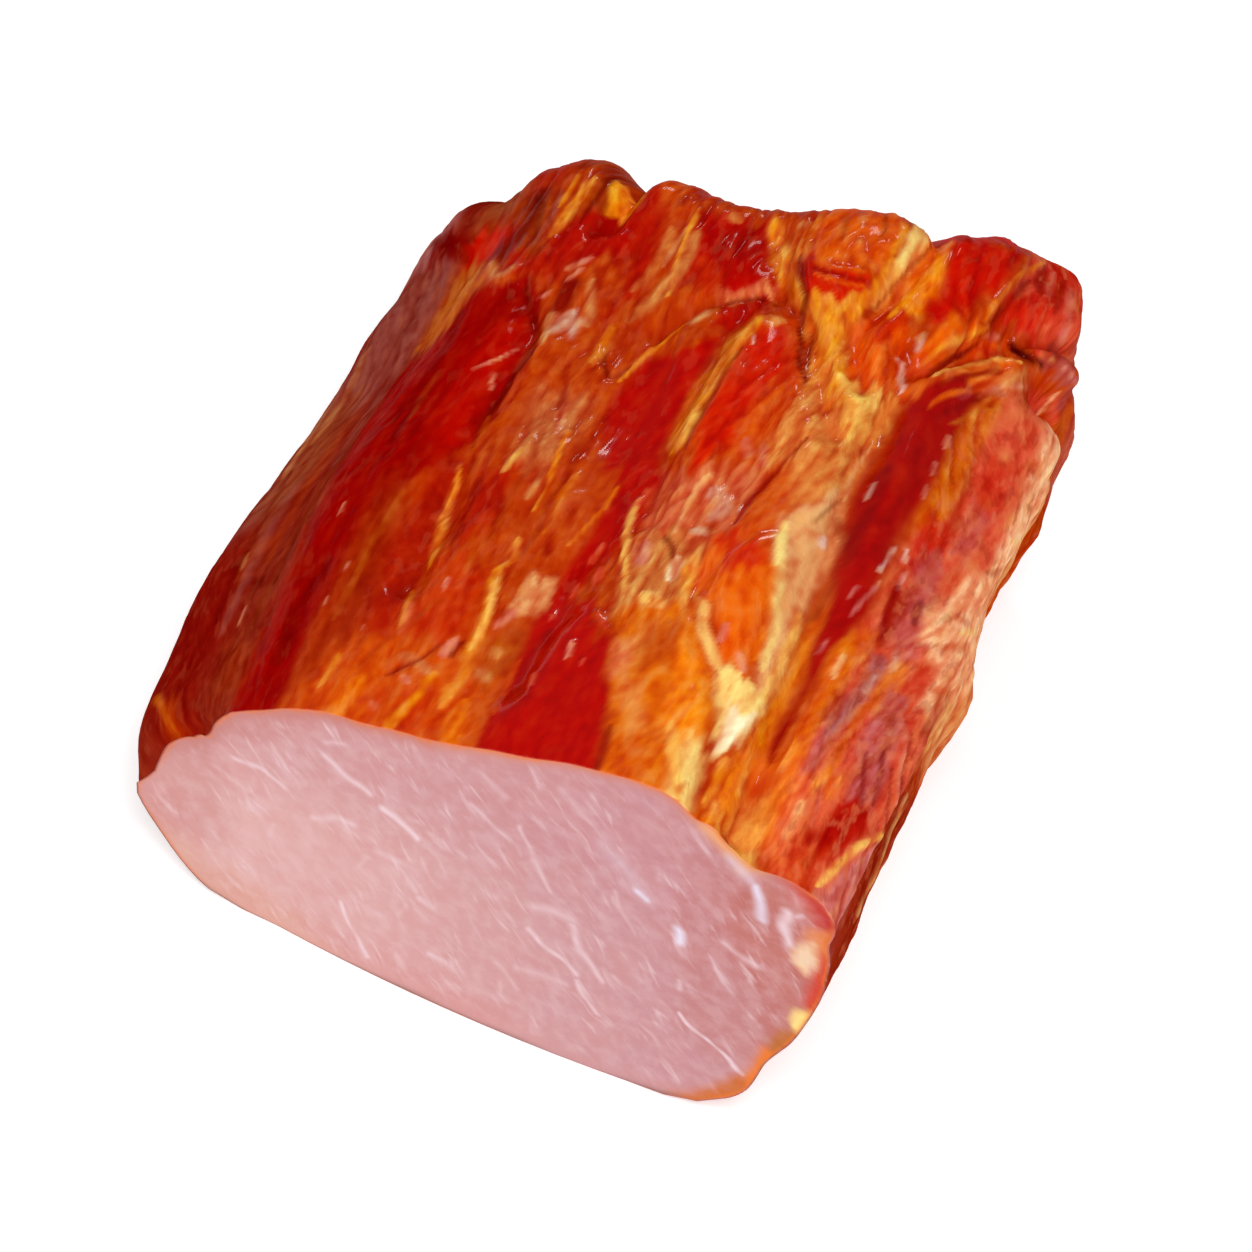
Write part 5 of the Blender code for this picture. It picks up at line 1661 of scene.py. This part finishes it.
# %% Threads of fat
THREAD_SPREAD = 1.6
THREADS = [
    (0.9, 0.6, [(-23.2, 46.4), (-18.9, 43.7), (-15.5, 42.6)]),
    (0.8, 0.8, [(-13, 40.4), (-9.5, 38.2), (-7.4, 36.4)]),
    (0.7, 0.6, [(-39.5, 37.2), (-34.5, 36.8), (-30.6, 35.0)]),
    (0.8, 0.5, [(-25.8, 30.8), (-22, 33), (-18.6, 33.5)]),
    (0.8, 0.3, [(-43, 32.8), (-37, 30.6)]),
    (0.7, 0.4, [(-22.4, 50.1), (-19.2, 51.6)]),
    (0.5, 0.7, [(-21.8, 13.4), (-19.6, 8.2), (-17, 3.6)]),
    (0.6, 0.35, [(-33.2, 25), (-33.8, 21.5)]),
    (1.0, 0.45, [(-14.4, 29.4), (-10.8, 29.2)]),
    (0.7, 0.4, [(-10.6, 27.8), (-8.2, 24.4)]),
    (0.9, 0.6, [(-7.2, 23.4), (-5, 22.8)]),
    (0.6, 0.35, [(-9.8, 20), (-11.2, 17)]),
    (0.8, 0.5, [(-5.8, 10.9), (-2, 10.3)]),
    (0.7, 0.35, [(-18, 15.6), (-14.6, 14.6)]),
    (0.6, 0.3, [(-16, 27), (-18, 24), (-15.6, 22)]),
    (1.2, 0.35, [(17.2, 62), (22.4, 57.8)]),
    (0.8, 0.35, [(4, 58.4), (8.2, 55.2)]),
    (0.8, 0.45, [(2.2, 50), (8, 45.8)]),
    (0.6, 0.45, [(10.4, 49.8), (12.6, 43.5), (15, 37.8)]),
    (1.1, 0.45, [(12.4, 32.8), (18.6, 33.4)]),
    (0.8, 0.6, [(18.6, 32), (20.4, 26.6), (23.8, 22)]),
    (0.6, 0.6, [(19.8, 19.8), (21.2, 16.4), (23, 13.8)]),
    (0.7, 0.65, [(11.6, 26.8), (15.4, 24), (19.4, 21.4)]),
    (0.5, 0.8, [(36.6, 21.8), (41, 19), (44.4, 16.4), (47.6, 14.4)]),
    (0.9, 0.35, [(9.2, 17), (18, 17.9)]),
    (0.6, 0.35, [(6, 15.4), (10, 12)]),
    (0.6, 0.3, [(6.8, 12), (6.4, 8.8)]),
    (0.6, 0.35, [(6, 31), (9.4, 26.4)]),
    (0.7, 0.3, [(-5.6, 39), (0.6, 37)]),
    (0.6, 0.4, [(26, 44.2), (29, 36.4)]),
    (0.7, 0.3, [(29.2, 28), (30.4, 25.6)]),
    (0.6, 0.45, [(36.7, 30.4), (37, 28)]),
    (0.9, 0.5, [(44, 43.4), (49.2, 41.4)]),
    (1.1, 0.75, [(53.8, 56.4), (53.4, 53.4), (54.6, 49.6)]),
    (0.7, 0.5, [(56.4, 57.4), (53.8, 55.4)]),
]
# Painted reflections: where the wet thick end of the cut shines, laid into the colour
REFLECTION_SPOTS = [
    (2.6, 0.3, [(24.2, 53.8), (27.6, 50.2), (31, 46)]),
    (0.9, 0.7, [(29.8, 46.4), (31, 45.6)]),
    (1.0, 0.8, [(36.4, 41.6), (36.6, 38.8)]),
    (1.5, 0.45, [(45.2, 62.6), (48.6, 59.4)]),
    (1.1, 0.75, [(49.2, 58.8), (50, 52.6)]),
]


def build_thread_group():
    """Strength on the straight run from a start, falling to 0 and below at a width from it."""
    wanted = dict.fromkeys(("Place", "Start", "Run", "Run by length squared"), "Vector")
    wanted.update({"Fall": "Float", "Strength": "Float"})
    group, source, target = new_group("fat_thread", wanted, {"Mask": "Float"})
    here = vector_maths(group, "SUBTRACT", source["Place"], source["Start"]).outputs[0]
    along = vector_maths(group, "DOT_PRODUCT", here, source["Run by length squared"]).outputs["Value"]
    # times 1, only to hold the share between 0 and 1
    share = maths(group, "MULTIPLY", along, 1.0)
    share.node.use_clamp = True
    reached = add_node(group, "ShaderNodeVectorMath", operation="SCALE")
    feed(group, (reached.inputs[0], reached.inputs["Scale"]), (source["Run"], share))
    gap = vector_maths(group, "DISTANCE", here, reached.outputs[0]).outputs["Value"]
    mask = maths(group, "SUBTRACT", source["Strength"], maths(group, "MULTIPLY", gap, source["Fall"]))
    group.links.new(mask, target["Mask"])
    return group


THREAD_GROUP = build_thread_group()
print(len(THREADS), "threads and", len(REFLECTION_SPOTS), "wet spots")


def draw_threads(tree, place, threads):
    """The strongest mask of all threads in a list at each place."""
    strongest = None
    for half_width, strength, corners in threads:
        for (x0, z0), (x1, z1) in zip(corners, corners[1:]):
            start = Vector((x0 - MIDDLE[0], 0, z0)) * MM
            run = Vector((x1 - x0, 0, z1 - z0)) * MM
            node = add_node(tree, "ShaderNodeGroup", node_tree=THREAD_GROUP)
            values = {"Start": start, "Run": run, "Run by length squared": run / run.length_squared}
            values["Strength"] = strength
            values["Fall"] = strength / (THREAD_SPREAD * half_width * MM)
            set_inputs(node, values)
            tree.links.new(place, node.inputs["Place"])
            mask = node.outputs["Mask"]
            strongest = mask if strongest is None else maths(tree, "MAXIMUM", strongest, mask)
    return remap(tree, strongest, 0.0, 0.9, 0.0, 0.9)


# %% [markdown]
# The cut is the same meat without smoke. It shows the fibres end on, as faint clouds and a warm blush,
# with marbling of two kinds: the large threads above, and fine ones from noise that is drawn out along
# one slant. The finish keeps the noise off the rim. The meat is damp, not wet, so its shine is weak.

# %% The cut
CUT_SPECULAR = 0.2
CUT_BUMP = 0.00015
THREAD_BEND = (210, 0.0009)
MARBLING_TURN = -55
MARBLING_SCALE = (150, 150, 640)
MARBLING_SHARES = (0.10, 0.50)
PATCH_SCALE = (110, 110, 110)
CLOUD_SCALE = (330, 330, 330)
CLOUD_SHARE = 0.18
BLUSH_SCALE = (120, 120, 120)
BLUSH_SHARE = 0.20


def build_cut_meat():
    """Pink meat across the grain, with threads of fat and painted reflections on the wet thick end."""
    material, tree, shader = new_material("cut_meat")
    group, _ = place_grain(tree)
    painted = read(tree, "paint", "Color")
    lean = read_finish(tree)[0]
    place = add_node(tree, "ShaderNodeTexCoord").outputs["Object"]
    flat = vector_maths(tree, "MULTIPLY", place, (1, 0, 1)).outputs[0]
    bent = wandering(tree, flat, *THREAD_BEND)
    turned = add_node(tree, "ShaderNodeMapping", inputs={"Rotation": (0, math.radians(MARBLING_TURN), 0)})
    tree.links.new(bent, turned.inputs["Vector"])
    drawn_out = scaled_noise(tree, turned.outputs["Vector"], MARBLING_SCALE, 3.0, 0.5)
    fine = remap(tree, drawn_out, 0.50, 0.78, 0.0, 1.0)
    where = remap(tree, scaled_noise(tree, place, PATCH_SCALE, 1.0), 0.38, 0.62, *MARBLING_SHARES)
    cloud = remap(tree, scaled_noise(tree, bent, CLOUD_SCALE, 3.0), 0.35, 0.7, 0.0, CLOUD_SHARE)
    blush = remap(tree, scaled_noise(tree, place, BLUSH_SCALE, 2.0), 0.40, 0.65, 0.0, BLUSH_SHARE)
    pale = mixed(tree, maths(tree, "MULTIPLY", cloud, lean), painted, "thread")
    warm = mixed(tree, maths(tree, "MULTIPLY", blush, lean), pale, "cut_rose")
    spread = maths(tree, "MULTIPLY", where, lean)
    lined = mixed(tree, maths(tree, "MULTIPLY", fine, spread), warm, "thread")
    marbled = mixed(tree, draw_threads(tree, bent, THREADS), lined, "thread")
    # Painted reflections of the wet spots go into the colour last
    with_reflections = mixed(tree, draw_threads(tree, bent, REFLECTION_SPOTS), marbled, "reflection_white")
    tree.links.new(with_reflections, shader.inputs["Base Color"])
    tree.links.new(remap(tree, group.outputs["Pores"], 0.35, 0.65, 0.34, 0.5), shader.inputs["Roughness"])
    set_inputs(shader, {"Specular IOR Level": CUT_SPECULAR})
    bumped(tree, shader, group.outputs["Height"], CUT_BUMP)
    return material


loin_mesh.materials.append(build_crust())
loin_mesh.materials.append(build_cut_meat())
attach(loin, "root")
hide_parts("loin")
print("materials", [slot.name for slot in loin_mesh.materials])

# %% [markdown]
# ## The stage
#
# The loin stands on a plain white floor, as in a catalogue photo. The floor glows a little, and the
# world is white and weak, so that nothing round the loin turns grey and its underside isn't black.

# %% Floor and world
FLOOR_SIZE = 3.0
FLOOR_DROP = 0.0002
FLOOR_GLOW = 0.6
WORLD_STRENGTH = 0.22


def build_floor():
    """A large white floor, a hair under the loin."""
    bm = bmesh.new()
    bmesh.ops.create_grid(bm, x_segments=1, y_segments=1, size=FLOOR_SIZE)
    bmesh.ops.translate(bm, verts=bm.verts, vec=(0, 0, -FLOOR_DROP))
    mesh = bpy.data.meshes.new("floor")
    bm.to_mesh(mesh)
    bm.free()
    material, _, shader = new_material("floor_white")
    set_inputs(shader, {"Base Color": (0.6, 0.6, 0.6, 1.0), "Roughness": 0.9, "Specular IOR Level": 0.1})
    set_inputs(shader, {"Emission Color": (1.0, 1.0, 1.0, 1.0), "Emission Strength": FLOOR_GLOW})
    mesh.materials.append(material)
    floor = bpy.data.objects.new("floor", mesh)
    bpy.context.scene.collection.objects.link(floor)
    return floor


build_floor()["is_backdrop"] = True
world = bpy.data.worlds.new("studio")
bpy.context.scene.world = world
world.use_nodes = True
background = world.node_tree.nodes["Background"]
set_inputs(background, {"Color": (1.0, 1.0, 1.0, 1.0), "Strength": WORLD_STRENGTH})

# %% [markdown]
# Three soft lamps light it. The key stands high in front and to the right, a weaker one fills in from
# the left, and a small one behind puts the glints on the wet skin. Large lamps give soft shadows and
# small ones sharp glints.


# %% Lamps
def aim(thing, place, target):
    """Puts a lamp or a camera somewhere and turns it to look at a point."""
    thing.location = place
    direction = Vector(target) - Vector(place)
    thing.rotation_euler = direction.to_track_quat("-Z", "Y").to_euler()


def add_lamp(name, place, size, power):
    """A soft square lamp that looks at the loin."""
    light = bpy.data.lights.new(name, "AREA")
    light.size = size
    light.energy = power
    lamp = bpy.data.objects.new(name, light)
    bpy.context.scene.collection.objects.link(lamp)
    aim(lamp, place, (0, 0, 0.03))
    return lamp


# Name, place and size in metres, and power in watts
add_lamp("key", (0.35, -0.55, 0.95), 0.30, 9.0)
add_lamp("left_fill", (-0.8, -0.4, 0.6), 0.5, 2.6)
add_lamp("glint", (-0.35, 0.88, 0.50), 0.12, 1.4)
print("lamps", [lamp.name for lamp in bpy.data.lights])

# %% [markdown]
# The camera looks along the line of sight that the colours were placed by: down at 48 degrees, from
# the right of the cut. It stands well back with a long lens, so that the far end hardly shrinks.

# %% Camera
CAMERA_DISTANCE = 0.840
CAMERA_TARGET = (0.00537, -0.00609, 0.03267)
CAMERA_LENS = 155.3

camera_place = tuple(CAMERA_TARGET + CAMERA_DISTANCE * sight)
lens = bpy.data.cameras.new("camera")
lens.lens = CAMERA_LENS
lens.sensor_width = 36.0
camera = bpy.data.objects.new("camera", lens)
bpy.context.scene.collection.objects.link(camera)
aim(camera, camera_place, CAMERA_TARGET)
bpy.context.scene.camera = camera
bpy.context.scene.view_settings.view_transform = "Standard"
print("camera at", [round(float(v), 3) for v in camera_place])

# %% [markdown]
# Last, the box of the finished piece is set beside that of the solid, and printed. It may pass the
# solid's box by a few tenths of a millimetre, as the strings stand up on it.

# %% Sizes and the end
size = {"cad": [list(corner) for corner in solid_box], "visual": [list(corner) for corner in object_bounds()]}
print("visual box", [[round(v * 1000, 1) for v in corner] for corner in size["visual"]])
